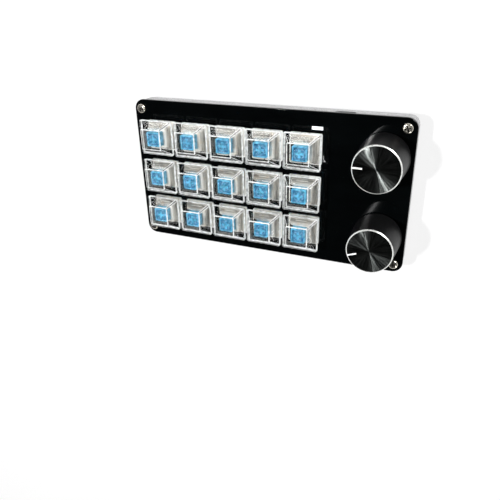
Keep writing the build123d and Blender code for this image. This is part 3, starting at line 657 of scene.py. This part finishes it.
def solder_mask():
    """Black board with copper tracks that show as a slight relief."""
    base = (0.010, 0.014, 0.012)
    material, tree, shader = shader_of("solder_mask", base, 0.3, IOR=1.5)
    coords = tree.nodes.new("ShaderNodeTexCoord")
    tracks = add(tree, "ShaderNodeTexBrick", Vector=coords.outputs["Object"], Scale=160.0, Mortar_Size=0.035,
                 Color1=(0.0, 0.0, 0.0, 1.0), Color2=(0.15, 0.15, 0.15, 1.0), Mortar=WHITE).outputs["Color"]
    fill(tree, shader, Base_Color=tint(tree, tracks, base, shade(base, 3.5), 0.2, 0.9))
    bump(tree, shader, tracks, 0.3, 0.00004)
    return material


def clear_plastic():
    """Polished clear cap. Part of the light goes straight through, as through a thin even wall."""
    return grained("clear_plastic", keys().clear_colour, 0.03, pattern=(420.0, 2.0), gloss=(0.02, 0.07),
                   relief=(0.05, 0.00004), Transmission_Weight=1.0, IOR=1.45, Alpha=0.14)


def clear_rim():
    """Edge of a clear cap, painted near white: painted light that stands in for the light the wall carries to
    its edge.
    """
    return grained("clear_rim", keys().rim_colour, 0.22, pattern=(520.0, 3.0), gloss=(0.15, 0.35),
                   tones=(0.6, 1.0, 0.36, 0.48), relief=(0.1, 0.00003), Transmission_Weight=0.15,
                   IOR=1.45, Alpha=0.85)


def corner_shade():
    """Painted dark line down the corner of a clear cap, between its two painted bright seams: a painted
    reflection of the black plate in the corner.
    """
    return grained("corner_shade", keys().shade_colour, 0.1, pattern=(700.0, 2.0), gloss=(0.06, 0.15),
                   tones=(1.5, 6.0), IOR=1.45, Alpha=0.6)


def tinted_post():
    """Post inside a clear cap, painted in the blue of the stem that holds it and made to glow: painted light,
    standing in for the stem seen through the clear post.
    """
    base = tuple(keys().post_painted_colour)
    material, tree, shader = shader_of("tinted_post", base, 0.2, IOR=1.45, Alpha=0.8,
                                       Emission_Strength=0.6)
    swirl = noise(tree, 900.0, 3.0)
    light = tint(tree, swirl, shade(base, 0.6), (0.34, 0.54, 0.72), 0.44, 0.66)
    fill(tree, shader, Base_Color=light, Emission_Color=light)
    bump(tree, shader, swirl, 0.1, 0.00005)
    return material


def housing_shade():
    """Painted shade on the sides of the clear housing, standing in for its dark inside."""
    return grained("housing_shade", keys().shade_colour, 0.12, pattern=(500.0, 4.0), gloss=(0.08, 0.2),
                   tones=(0.5, 1.6), IOR=1.5, Alpha=0.93)


def milky_housing():
    """Clear housing with a warm milky body and amber patches of painted light, standing in for the brass
    leaves seen through it.
    """
    base = tuple(keys().housing_colour)
    material, tree, shader = shader_of("milky_housing", base, 0.15, Transmission_Weight=0.1, IOR=1.5,
                                       Alpha=0.8)
    flow = noise(tree, 620.0, 2.0, stretch=(0.12, 0.12, 1.0))
    patches = noise(tree, 330.0, 3.0, place=(0.3, 0.1, 0.2))
    mix = tree.nodes.new("ShaderNodeMix")
    mix.data_type = "RGBA"
    fill(tree, mix, Factor=spread(tree, patches, 0.0, 0.5, 0.55, 0.7),
         A=tint(tree, flow, shade(base, 0.5), shade(base, 1.1), 0.4, 0.5), B=(*keys().painted_brass_colour, 1.0))
    fill(tree, shader, Base_Color=mix.outputs["Result"], Roughness=spread(tree, flow, 0.1, 0.22))
    bump(tree, shader, flow, 0.12, 0.00005)
    return material


def white_housing():
    return moulded("white_housing", keys().flange_colour, 0.35, 900.0, 0.08, Subsurface_Weight=0.2)


def stem_blue():
    """Glossy blue stem with a little light in its body."""
    return grained("stem_blue", keys().stem_colour, 0.3, pattern=(650.0, 4.0), gloss=(0.22, 0.38),
                   tones=(0.7, 1.3, 0.4, 0.6), relief=(0.08, 0.00004), IOR=1.48, Subsurface_Weight=0.3,
                   Subsurface_Radius=(0.0006, 0.0012, 0.002), Subsurface_Scale=0.5)


def spun_top():
    """Black anodised face with fine concentric turning lines, which draw highlights into wedges."""
    base = tuple(knobs().top_colour)
    material, tree, shader = shader_of("spun_top", base, 0.3, Metallic=1.0, Anisotropic=0.93,
                                       Anisotropic_Rotation=0.25)
    tangent = tree.nodes.new("ShaderNodeTangent")
    tangent.direction_type = "UV_MAP"
    tangent.uv_map = TURNING
    polar = tree.nodes.new("ShaderNodeUVMap")
    polar.uv_map = TURNING
    scale = add(tree, "ShaderNodeMapping", Vector=polar.outputs["UV"], Scale=(15.0, 0.2, 1.0))
    rays = add(tree, "ShaderNodeTexNoise", Vector=scale.outputs["Vector"], Scale=6.0,
               Detail=3.0).outputs["Fac"]
    fill(tree, shader, Tangent=tangent.outputs["Tangent"], Roughness=spread(tree, rays, 0.15, 0.21),
         Base_Color=tint(tree, rays, shade(base, 0.2), shade(base, 2.4), 0.4, 0.64))
    return material


def anodised_wall():
    return grained("anodised_wall", knobs().wall_colour, 0.4, pattern=(500.0, 4.0), gloss=(0.32, 0.44),
                   tones=(0.6, 1.1), relief=(0.15, 0.00002), stretch=(0.3, 0.3, 9.0), Metallic=0.15,
                   Specular_IOR_Level=0.1)


def matt_bore():
    """Matt inside of a drilled hole, painted darker than the wall as painted shade."""
    return moulded("matt_bore", shade(knobs().wall_colour, 0.6), 0.85, Specular_IOR_Level=0.05)


def cut_rim():
    """Bright cut chamfer, rough enough to shine all round."""
    return grained("cut_rim", knobs().rim_colour, 0.3, pattern=(900.0, 3.0), gloss=(0.24, 0.4),
                   tones=(0.85, 1.05), relief=(0.05, 0.00002), Metallic=0.55)


def lit_white():
    """White light pipe, lit from below."""
    material, tree, shader = shader_of("lit_white", (0.92, 0.93, 0.95), 0.3, Emission_Strength=0.55)
    glow = noise(tree, 300.0, 2.0)
    fill(tree, shader, Base_Color=tint(tree, glow, (0.88, 0.9, 0.93), (0.95, 0.96, 0.97)),
         Emission_Color=tint(tree, glow, (0.9, 0.95, 1.0), WHITE[:3]))
    return material


# ---- case ----
class KEYPAD_OT_case(bpy.types.Operator):
    """Dresses the face plate, the side frame, the cover and the feet"""

    bl_idname = "keypad.case"
    bl_label = "Case"

    def execute(self, context):
        edge = case().edge_round
        for node, name, finish, slot in (
                ("face_plate", "polished_face_plate", polished_black(), "gloss_black"),
                ("side_frame", "moulded_side_frame", frame_grey(), "case_grey")):
            piece = fine_copy(node, name, finish, edge)
            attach(piece, "base")
            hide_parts(node)
        dress("bottom_cover", textured_black())
        dress("rubber_feet", foot_rubber())
        return {"FINISHED"}


def screw_template():
    """Pan head with a cross recess, standing on z = 0 with its shank below."""
    head, height = case().head_radius, case().head_height
    shank, shank_length, bend = 0.0012, 0.0054, 0.0007
    round_steps, bend_steps = 48, 6
    rings = [circle_ring(shank, -shank_length, round_steps), circle_ring(shank, 0.0, round_steps),
             circle_ring(head, 0.0, round_steps)]
    for step in range(bend_steps + 1):
        angle = step * pi / 2 / bend_steps
        rings.append(circle_ring(head - bend * (1 - cos(angle)), height - bend * (1 - sin(angle)),
                                 round_steps))
    bm = bmesh.new()
    skin(bm, rings, start=True, end=True)
    template = new_object("screw_template", bm, [])
    width, depth = case().recess_width, case().recess_depth
    recess_span, recess_taper = 1.25 * head, 0.8
    bm = bmesh.new()
    recess = [cross_ring(recess_span, width * recess_taper, height - depth),
              cross_ring(recess_span, width, height + depth)]
    skin(bm, recess, start=True, end=True)
    cut(template, new_object("recess_tool", bm, []))
    smoothed(template.data, 30.0)
    # painted shade: the faces inside the cross recess are marked for a dark finish, standing in for the shade
    # in the recess
    recess_reach, top_skin = 0.64 * head, 0.0001
    for polygon in template.data.polygons:
        spot = polygon.center
        inside = hypot(spot.x, spot.y) < recess_reach and 0 < spot.z < height - top_skin
        polygon.material_index = SHADE * int(inside)
    return mark_faces(template)


class KEYPAD_OT_screws(bpy.types.Operator):
    """Adds the corner screws and dresses the cover screws and standoffs"""

    bl_idname = "keypad.screws"
    bl_label = "Screws"

    def execute(self, context):
        template = screw_template()
        inset = case().head_radius
        low, high = (Vector(corner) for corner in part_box("face_screws"))
        points = []
        for (side_x, side_y), turn in SCREW_TURNS.items():
            x = high.x - inset if side_x > 0 else low.x + inset
            y = high.y - inset if side_y > 0 else low.y + inset
            points.append((x, y, PLATE_TOP, turn))
        finish = metal("bright_nickel", case().nickel_colour, 0.2)
        # painted shade: dark metal for the screws' recesses, standing in for their shade
        recess = metal("recess_nickel", (0.03, 0.028, 0.025), 0.5)
        screws = grown("corner_screws", points_tree(), points,
                       {"Template": template, "Finish": finish, "Shade": recess})
        bpy.data.objects.remove(template)
        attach(screws, "base")
        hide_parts("face_screws")
        dress("bottom_screws", metal("black_steel", (0.07, 0.07, 0.075), 0.35))
        dress("threaded_standoffs", metal("turned_brass", (0.75, 0.55, 0.25), 0.25))
        return {"FINISHED"}


# ---- key switches ----
def upper_housing_template():
    """Tapered clear housing: square opening, moulded step, ledge over the light and clips at its sides."""
    k = keys()
    waist_w, waist_d = one_key("switch_upper_housings")
    low, high = PLATE_TOP + k.flange_height, HOUSING_TOP
    opening = k.stem_width + 0.0003
    foot_wall, neck_wall, roof = 0.0015, 0.0003, 0.001
    corner, step_corner, top_corner, inner_corner, mouth_corner = 0.0008, 0.0006, 0.0007, 0.0004, 0.0003
    soft, step = 0.00025, 0.0003

    def slope(z, radius, inset=0.0):
        share = (z - low) / (high - low)
        return level_ring(waist_w + share * (k.neck_width - waist_w) - 2 * inset,
                          waist_d + share * (k.neck_depth - waist_d) - 2 * inset, radius, z)

    seam = PLATE_TOP + k.seam_height
    rings = [level_ring(waist_w - 2 * foot_wall, waist_d - 2 * foot_wall, inner_corner, low),
             slope(low, corner), slope(seam, corner), slope(seam + 0.1 * step, step_corner, step),
             slope(seam + step, step_corner, step), slope(seam + 1.1 * step, corner, 0.3 * step),
             slope(high - soft, corner),
             level_ring(k.neck_width - 2 * soft, k.neck_depth - 2 * soft, top_corner, high),
             square_ring(opening + 2 * soft, inner_corner, high),
             square_ring(opening, mouth_corner, high - soft), square_ring(opening, mouth_corner, high - roof),
             level_ring(k.neck_width - 2 * neck_wall, k.neck_depth - 2 * neck_wall, inner_corner,
                        high - roof)]
    # painted shade: the left side from the slope above the step upwards, and the front of that slope, get the
    # dark housing finish
    left = tuple(SHADE * int(LEFT_FROM <= i < FRONT_FROM) for i in range(RING_POINTS))
    left_and_front = tuple(SHADE * int(LEFT_FROM <= i < FRONT_TO) for i in range(RING_POINTS))
    finishes = [(0,)] * 5 + [left_and_front] + [left] * 5
    bm = bmesh.new()
    loops = skin(bm, rings, finishes)
    band(bm, loops[-1], loops[0])
    template = new_object("upper_housing_template", bm, [])
    bm = bmesh.new()
    ledge_height = PLATE_TOP + k.window_height - low
    ledge_z = low + ledge_height / 2
    ledge_back, ledge_wall, groove = waist_d / 2 - 0.0008, 0.0004, 0.0004
    box_into(bm, (0.0, ledge_back - ledge_wall / 2, ledge_z), (k.window_width, ledge_wall, ledge_height))
    box_into(bm, (0.0, ledge_back - ledge_wall - groove, ledge_z - groove),
             (k.window_width, 2 * groove, ledge_height - groove))
    clip_inset, clip_offset, clip_length, clip_width = 0.0011, 0.0024, 0.0018, 0.0005
    for side in (-1, 1):
        for y in (-clip_offset, clip_offset):
            box_into(bm, (side * (waist_w / 2 - clip_inset), y, (low + seam) / 2),
                     (clip_length, clip_width, seam - low))
    parts = new_object("housing_parts", bm, [])
    rounded(parts, 0.00008)
    return mark_faces(joined(template, parts))


def lower_housing_template():
    """White housing in one skin: notched flange on the plate, open body, and a pole with a guide bore."""
    k = keys()
    wide, deep = one_key("switch_lower_housings")
    flange_top = PLATE_TOP + k.flange_height
    flange_low = PLATE_TOP + 0.00001
    body_low = PLATE_TOP - 0.005
    floor = body_low + 0.0014
    bore_low, pole_low = PLATE_TOP - 0.0076, PLATE_TOP - 0.0083
    inner = k.body_width - 0.0033
    soft = 0.00012
    outer_corner, edge_corner, body_corner, inner_corner = 0.0008, 0.0007, 0.0005, 0.0004
    body = square_ring(k.body_width, body_corner, body_low)
    rings = [round_ring(k.guide_radius, body, bore_low), round_ring(k.guide_radius, body, floor),
             square_ring(inner, inner_corner, floor), square_ring(inner, inner_corner, flange_top - soft),
             square_ring(inner + 2 * soft, body_corner, flange_top),
             level_ring(wide - 2 * soft, deep - 2 * soft, edge_corner, flange_top),
             level_ring(wide, deep, outer_corner, flange_top - soft),
             level_ring(wide, deep, outer_corner, PLATE_TOP + soft),
             level_ring(wide - 2 * soft, deep - 2 * soft, edge_corner, flange_low),
             square_ring(k.body_width, body_corner, flange_low), body,
             round_ring(k.pole_radius, body, body_low), round_ring(k.pole_radius, body, pole_low)]
    bm = bmesh.new()
    skin(bm, rings, start=True, end=True)
    template = new_object("lower_housing_template", bm, [])
    bm = bmesh.new()
    notch_offsets, notch_depth = (-0.0022, 0.0015), 0.0011
    for side in (-1, 1):
        for x in notch_offsets:
            box_into(bm, (side * x, side * deep / 2, flange_top),
                     (k.notch_width, notch_depth, 2 * k.flange_height))
    cut(template, new_object("notch_tool", bm, []))
    smoothed(template.data)
    return template


class KEYPAD_OT_switches(bpy.types.Operator):
    """Adds the switch housings at every key and dresses what they hold"""

    bl_idname = "keypad.switches"
    bl_label = "Switches"

    def execute(self, context):
        tree = key_grid_tree()
        clear = {"Finish": milky_housing(), "Shade": housing_shade()}
        rows = (("upper_housings", upper_housing_template(), clear, "switch_upper_housings",
                 "switch_clear"),
                ("lower_housings", lower_housing_template(), {"Finish": white_housing()},
                 "switch_lower_housings", "switch_white"))
        for name, template, finishes, node, slot in rows:
            piece = grown(name, tree, [], grid_inputs(template, finishes))
            bpy.data.objects.remove(template)
            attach(piece, "base")
            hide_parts(node)
        dress("switch_springs", metal("spring_wire", (0.62, 0.6, 0.56), 0.22))
        dress("switch_contacts", metal("leaf_brass", keys().leaf_colour, 0.25))
        dress("hot_swap_sockets", moulded("socket_black", (0.02, 0.02, 0.02)))
        return {"FINISHED"}


# ---- keycaps and stems ----
def cap_template():
    """Clear cap: lip, sloping sides with painted bright corner seams, hollow inside, post with a cross
    socket.
    """
    k = keys()
    low, high = CAP_LOW.z, CAP_HIGH.z
    lip_top = low + k.cap_lip
    roof = high - k.cap_roof
    soft, bend, bend_steps = 0.00018, k.cap_round, 4
    least_round = 0.0002
    base_w, base_d = CAP_HIGH.x - CAP_LOW.x, CAP_HIGH.y - CAP_LOW.y

    def skirt(z, inset=0.0):
        return level_ring(base_w - 2 * inset, base_d - 2 * inset, k.cap_base_round - inset, z)

    def slope(z, inset=0.0):
        share = (z - lip_top) / (high - lip_top)
        radius = k.cap_base_round + share * (k.cap_top_round - k.cap_base_round)
        return level_ring(base_w + share * (k.cap_top_width - base_w) - 2 * inset,
                          base_d + share * (k.cap_top_depth - base_d) - 2 * inset,
                          max(radius - inset, least_round), z, share * k.cap_top_back)

    rings = [skirt(low, soft), skirt(low + soft), skirt(lip_top), slope(lip_top + 2 * soft),
             slope(high - bend)]
    # painted light and shade: Rim faces at the skirt's edges, the step above the lip, the top edge and both
    # sides of each corner are painted near white, and Shade gives the +X +Y corner a painted dark line
    # between its bright ones
    flat = (0,) * (QUARTER - ARC_STEPS)
    shaded_corner = (RIM, RIM, SHADE, SHADE, RIM, RIM)
    plain_corner = (RIM,) + (0,) * (ARC_STEPS - 2) + (RIM,)
    seam = shaded_corner + flat + 3 * (plain_corner + flat)
    finishes = [(RIM,), (0,), (RIM,), seam]
    for step in range(1, bend_steps + 1):
        angle = step * pi / 2 / bend_steps
        rings.append(slope(high - bend * (1 - sin(angle)), bend * (1 - cos(angle))))
        finishes.append((RIM,))
    bm = bmesh.new()
    outer = skin(bm, rings, finishes, end=True)
    ceiling = slope(roof, k.cap_wall)
    post, fillet = k.post_radius, 0.0003
    lip_wall, skirt_wall = 0.75 * k.cap_wall, 0.8 * k.cap_wall
    socket_depth, socket_gap = 0.00375, 0.0001
    socket_low = STEM_HIGH.z - socket_depth
    socket_span, socket_width = k.cross_length + socket_gap, k.cross_width + socket_gap
    inside = [skirt(low, lip_wall), skirt(low + soft, skirt_wall), slope(roof - fillet, k.cap_wall), ceiling,
              round_ring(post + fillet, ceiling, roof), round_ring(post, ceiling, roof - fillet),
              round_ring(post, ceiling, socket_low + soft), round_ring(post - soft, ceiling, socket_low),
              cross_ring(socket_span, socket_width, socket_low),
              cross_ring(socket_span, socket_width, STEM_HIGH.z)]
    # painted light: from this ring on, the post's faces get the glowing blue post finish
    post_from = 5
    inner = skin(bm, inside, [(CORE * int(ring >= post_from),) for ring in range(len(inside))], end=True)
    band(bm, outer[0], inner[0], (RIM,))
    return mark_faces(new_object("cap_template", bm, [], crease=30.0))


def stem_template():
    """Blue stem: square collar round a cross, on a shoulder with a guide pin below."""
    k = keys()
    top = STEM_HIGH.z
    floor = top - 0.004
    shoulder_top = top - 0.00465
    shoulder_low = shoulder_top - 0.0014
    pin_radius, pin_steps, overlap = 0.0015, 24, 0.0001
    soft = 0.00012
    inner = k.stem_width - 2 * k.stem_wall
    wide, deep = STEM_HIGH.x - STEM_LOW.x, STEM_HIGH.y - STEM_LOW.y
    collar_corner, edge_corner, tight_corner = 0.0005, 0.0004, 0.0003
    rings = [level_ring(wide, deep, tight_corner, shoulder_low),
             level_ring(wide, deep, tight_corner, shoulder_top),
             square_ring(k.stem_width, collar_corner, shoulder_top),
             square_ring(k.stem_width, collar_corner, top - soft),
             square_ring(k.stem_width - 2 * soft, edge_corner, top),
             square_ring(inner + 2 * soft, edge_corner, top), square_ring(inner, tight_corner, top - soft),
             square_ring(inner, tight_corner, floor),
             cross_ring(k.cross_length, k.cross_width, floor),
             cross_ring(k.cross_length, k.cross_width, top - soft),
             cross_ring(k.cross_length - 2 * soft, k.cross_width - 2 * soft, top)]
    bm = bmesh.new()
    skin(bm, rings, start=True, end=True)
    pin = [circle_ring(pin_radius, z, pin_steps) for z in (STEM_LOW.z, shoulder_low + overlap)]
    skin(bm, pin, start=True, end=True)
    return new_object("stem_template", bm, [])


class KEYPAD_OT_keycaps(bpy.types.Operator):
    """Adds a clear cap and a blue stem on every key's own body"""

    bl_idname = "keypad.keycaps"
    bl_label = "Keycaps and stems"

    def execute(self, context):
        tree = one_key_tree()
        clear = {"Finish": clear_plastic(), "Rim": clear_rim(), "Core": tinted_post(),
                 "Shade": corner_shade()}
        blue = {"Finish": stem_blue()}
        caps, stems = cap_template(), stem_template()
        for name, place in KEY_PLACES.items():
            spot = (place.x, place.y, 0.0)
            for piece_name, template, finishes, node, slot in (
                    (f"clear_cap_{name}", caps, clear, f"keycap_{name}", "cap_clear"),
                    (f"blue_stem_{name}", stems, blue, f"key_stem_{name}", "stem_blue")):
                piece = grown(piece_name, tree, [], {"Template": template, "Place": spot, **finishes})
                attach(piece, f"key_{name}")
                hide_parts(node)
        for template in (caps, stems):
            bpy.data.objects.remove(template)
        return {"FINISHED"}


# ---- knobs ----
def polar_uv(obj, centre):
    """UV map that runs round the axis in U and outwards in V."""
    mesh = obj.data
    layer = mesh.uv_layers.new(name=TURNING)
    for polygon in mesh.polygons:
        mid = polygon.center - centre
        base = atan2(mid.y, mid.x)
        for loop in polygon.loop_indices:
            spot = mesh.vertices[mesh.loops[loop].vertex_index].co - centre
            reach = hypot(spot.x, spot.y)
            angle = atan2(spot.y, spot.x) if reach > 1e-7 else base
            while angle - base > pi:
                angle -= tau
            while angle - base < -pi:
                angle += tau
            layer.data[loop].uv = (angle / tau, reach / knobs().rim_radius)


def knob_mesh(name, centre, turn, finishes):
    """Turned knob: wall, bright chamfer, spun top, hollow with a bored hub, and the grub screw's hole."""
    k = knobs()
    low, high = KNOB_LOW.z, KNOB_HIGH.z
    base = (KNOB_HIGH.x - KNOB_LOW.x) / 2
    hub_low = PLATE_TOP + 0.0065
    room = PLATE_TOP + k.room_height
    bore_top = high - 0.0026
    soft = 0.0002
    top_r = k.rim_radius - k.rim_width
    wall, rim, top, bore = range(4)
    profile = [(k.bore_radius, bore_top, wall), (k.bore_radius, hub_low, wall),
               (k.hub_radius, hub_low, wall), (k.hub_radius, room, wall), (k.room_radius, room, wall),
               (k.room_radius, low, wall), (base - soft, low, wall), (base, low + soft, wall),
               (k.rim_radius, high - k.rim_width, rim), (top_r, high, top)]
    bands = 10
    profile += [(top_r * (1 - band / bands), high, top) for band in range(1, bands)]
    count = k.segments
    bm = bmesh.new()
    loops = skin(bm, [circle_ring(radius, z, count, centre) for radius, z, _ in profile],
                 [(finish,) for _, _, finish in profile[:-1]])
    tip = bm.verts.new((*centre, high))
    bottom = bm.verts.new((*centre, bore_top))
    for i in range(count):
        j = (i + 1) % count
        bm.faces.new((loops[-1][i], loops[-1][j], tip)).material_index = top
        bm.faces.new((loops[0][j], loops[0][i], bottom))
    knob = new_object(name, bm, finishes, crease=25.0)
    tunnel_radius, tunnel_height, tunnel_start, tunnel_past, tunnel_steps = 0.00155, 0.0115, 0.003, 0.001, 32
    bm = bmesh.new()
    tunnel = [circle_ring(tunnel_radius, z, tunnel_steps) for z in (tunnel_start, base + tunnel_past)]
    skin(bm, tunnel, start=True, end=True)
    tool = new_object("grub_tunnel_tool", bm, [])
    place = (Matrix.Translation((*centre, PLATE_TOP + tunnel_height))
             @ Matrix.Rotation(turn, 4, "Z") @ Matrix.Rotation(pi / 2, 4, "X"))
    tool.data.transform(place)
    cut(knob, tool)
    near = 0.00003
    for polygon in knob.data.polygons:
        across = place.inverted() @ polygon.center
        if hypot(across.x, across.y) < tunnel_radius + near:
            polygon.material_index = bore
    smoothed(knob.data, 25.0)
    polar_uv(knob, Vector((*centre, 0.0)))
    return knob


def mark_mesh(name, centre, turn, finish):
    """White filling of the mark's groove, from the rim inwards."""
    k = knobs()
    high = KNOB_HIGH.z
    top_r = k.rim_radius - k.rim_width
    proud, sunk = 0.00003, 0.0002
    half = k.mark_width / 2
    outline = [(top_r - k.mark_length, high), (top_r, high), (k.rim_radius, high - k.rim_width)]
    bm = bmesh.new()
    upper, lower = ([[bm.verts.new((-reach, side * half, z + lift)) for side in (-1, 1)]
                     for reach, z in outline] for lift in (proud, -sunk))
    for pair in (upper, lower):
        for near, far in zip(pair, pair[1:]):
            bm.faces.new((near[0], near[1], far[1], far[0]))
    for (up_a, low_a), (up_b, low_b) in zip(zip(upper, lower), zip(upper[1:], lower[1:])):
        for side in (0, 1):
            bm.faces.new((up_a[side], up_b[side], low_b[side], low_a[side]))
    for up, down in ((upper[0], lower[0]), (upper[-1], lower[-1])):
        bm.faces.new((up[0], up[1], down[1], down[0]))
    bm.transform(Matrix.Translation((*centre, 0.0)) @ Matrix.Rotation(turn, 4, "Z"))
    return new_object(name, bm, [finish])


class KEYPAD_OT_knobs(bpy.types.Operator):
    """Adds both turned knobs with their marks and dresses the encoders under them"""

    bl_idname = "keypad.knobs"
    bl_label = "Knobs"

    def execute(self, context):
        finishes = [anodised_wall(), cut_rim(), spun_top(), matt_bore()]
        white = moulded("mark_white", knobs().mark_colour, 0.4)
        steel = metal("plain_steel", (0.6, 0.6, 0.6), 0.28)
        dark = metal("grub_steel", (0.03, 0.03, 0.032), 0.5)
        zinc = metal("cast_zinc", (0.5, 0.5, 0.51), 0.4)
        green = moulded("encoder_green", (0.03, 0.11, 0.09))
        for place, spot in KNOB_PLACES.items():
            centre = (spot.x, spot.y)
            turn = KNOB_TURNS[place]
            knob = knob_mesh(f"turned_knob_{place}", centre, turn, finishes)
            mark = mark_mesh(f"knob_mark_{place}", centre, turn, white)
            for piece in (knob, mark):
                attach(piece, f"knob_{place}")
            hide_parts(f"knob_{place}")
            dress(f"knob_grub_screw_{place}", dark)
            dress(f"encoder_shaft_{place}", steel)
            dress(f"encoder_rotor_{place}", green)
        dress("encoder_bases", green)
        dress("encoder_covers", steel)
        dress("encoder_bushings", zinc)
        return {"FINISHED"}


# ---- electronics ----
class KEYPAD_OT_electronics(bpy.types.Operator):
    """Dresses the board, its parts, the cable socket and the status light"""

    bl_idname = "keypad.electronics"
    bl_label = "Electronics"

    def execute(self, context):
        dress("circuit_board", solder_mask())
        dress("board_leds", moulded("led_white", (0.8, 0.8, 0.76), 0.35))
        dress("board_components", moulded("component_grey", (0.06, 0.055, 0.05)))
        dress("microcontroller", moulded("chip_black", (0.025, 0.025, 0.026), 0.5))
        dress("usb_socket_shell", metal("socket_steel", (0.66, 0.66, 0.67), 0.2))
        dress("usb_socket_tongue", moulded("tongue_black", (0.018, 0.018, 0.018)))
        dress("status_light_pipe", lit_white())
        return {"FINISHED"}


# ---- stage ----
# each lamp's place, its width and the name of its power
LAMPS = {
    "key_lamp": ((-0.30, 0.10, 0.88), 0.06, "key_power"),
    "side_lamp": ((0.29, -0.58, 0.64), 0.16, "side_power"),
    "back_lamp": ((0.55, 0.62, 0.36), 0.3, "back_power"),
}
HORIZON_UP_TO, ZENITH_FROM = radians(8), radians(30)


def area_lamp(name, place, size, power):
    """Round lamp that faces the keypad."""
    data = bpy.data.lights.new(name, "AREA")
    data.shape = "DISK"
    data.size = size
    data.energy = power
    lamp = placed(name, data)
    lamp.location = place
    lamp.rotation_euler = (-Vector(place)).to_track_quat("-Z", "Y").to_euler()


def floor_finish():
    """Pale floor. It shows near its own colour, and keeps the keypad's shadow."""
    material, tree, shader = shader_of("pale_floor", stage().floor_colour, 0.9, Specular_IOR_Level=0.0)
    path = tree.nodes.new("ShaderNodeLightPath").outputs
    seen = math_node(tree, "MAXIMUM", path["Is Camera Ray"],
                     math_node(tree, "MAXIMUM", path["Is Glossy Ray"], path["Is Transmission Ray"]))
    glow = add(tree, "ShaderNodeEmission", Color=WHITE)
    mix = add(tree, "ShaderNodeMixShader", Fac=math_node(tree, "MULTIPLY", seen, FLOOR_GLOW))
    feed(tree, mix.inputs[1], shader.outputs["BSDF"])
    feed(tree, mix.inputs[2], glow.outputs["Emission"])
    leave = next(node for node in tree.nodes if node.type == "OUTPUT_MATERIAL")
    fill(tree, leave, Surface=mix.outputs["Shader"])
    return material


def studio_world():
    """Bright near the horizon and dim overhead, as in a room with light walls."""
    world = bpy.data.worlds.new("studio")
    world.use_nodes = True
    tree = world.node_tree
    back = next(node for node in tree.nodes if node.type == "BACKGROUND")
    coords = tree.nodes.new("ShaderNodeTexCoord")
    split = add(tree, "ShaderNodeSeparateXYZ", Vector=coords.outputs["Generated"])
    level = spread(tree, split.outputs["Z"], stage().horizon, stage().zenith, sin(HORIZON_UP_TO),
                   sin(ZENITH_FROM))
    fill(tree, back, Strength=level, Color=WHITE)
    bpy.context.scene.world = world


class KEYPAD_OT_stage(bpy.types.Operator):
    """Adds the floor, the lamps, the world and the camera"""

    bl_idname = "keypad.stage"
    bl_label = "Stage"

    def execute(self, context):
        s = stage()
        reach = s.floor_reach
        bm = bmesh.new()
        corners = [(-reach, -reach), (reach, -reach), (reach, reach), (-reach, reach)]
        bm.faces.new([bm.verts.new((x, y, CAD_BOX[0].z)) for x, y in corners])
        floor = new_object("floor", bm, [floor_finish()], recalc=False)
        for name, (place, size, power) in LAMPS.items():
            area_lamp(name, place, size, getattr(s, power))
        studio_world()
        data = bpy.data.cameras.new("camera")
        data.lens = s.camera_lens
        camera = placed("camera", data)
        camera.location = s.camera_place
        camera.rotation_euler = Euler(s.camera_turn)
        bpy.context.scene.camera = camera
        bpy.context.scene.view_settings.view_transform = "Standard"
        return {"FINISHED"}


# ---- panel and registration ----
OPERATORS = (KEYPAD_OT_stage, KEYPAD_OT_case, KEYPAD_OT_screws, KEYPAD_OT_switches,
             KEYPAD_OT_keycaps, KEYPAD_OT_knobs, KEYPAD_OT_electronics)
GROUPS = {"keypad_case": KeypadCase, "keypad_keys": KeypadKeys, "keypad_knobs": KeypadKnobs,
          "keypad_stage": KeypadStage}


class KEYPAD_PT_panel(bpy.types.Panel):
    """Lists the keypad's pieces and their sizes"""

    bl_idname = "KEYPAD_PT_panel"
    bl_label = "Macro keypad"
    bl_space_type = "VIEW_3D"
    bl_region_type = "UI"
    bl_category = "Keypad"

    def draw(self, context):
        layout = self.layout
        for operator in OPERATORS:
            layout.operator(operator.bl_idname)
        for name, group in GROUPS.items():
            box = layout.box()
            box.label(text=group.__name__)
            for prop in group.__annotations__:
                box.prop(getattr(context.scene, name), prop)


def register():
    for group in GROUPS.values():
        bpy.utils.register_class(group)
    for name, group in GROUPS.items():
        setattr(bpy.types.Scene, name, PointerProperty(type=group))
    for operator in OPERATORS:
        bpy.utils.register_class(operator)
    bpy.utils.register_class(KEYPAD_PT_panel)


def unregister():
    bpy.utils.unregister_class(KEYPAD_PT_panel)
    for operator in reversed(OPERATORS):
        bpy.utils.unregister_class(operator)
    for name in GROUPS:
        delattr(bpy.types.Scene, name)
    for group in reversed(GROUPS.values()):
        bpy.utils.unregister_class(group)


def main():
    register()
    bpy.ops.keypad.stage()
    bpy.ops.keypad.case()
    bpy.ops.keypad.screws()
    bpy.ops.keypad.switches()
    bpy.ops.keypad.keycaps()
    bpy.ops.keypad.knobs()
    bpy.ops.keypad.electronics()


if __name__ == "__main__":
    main()
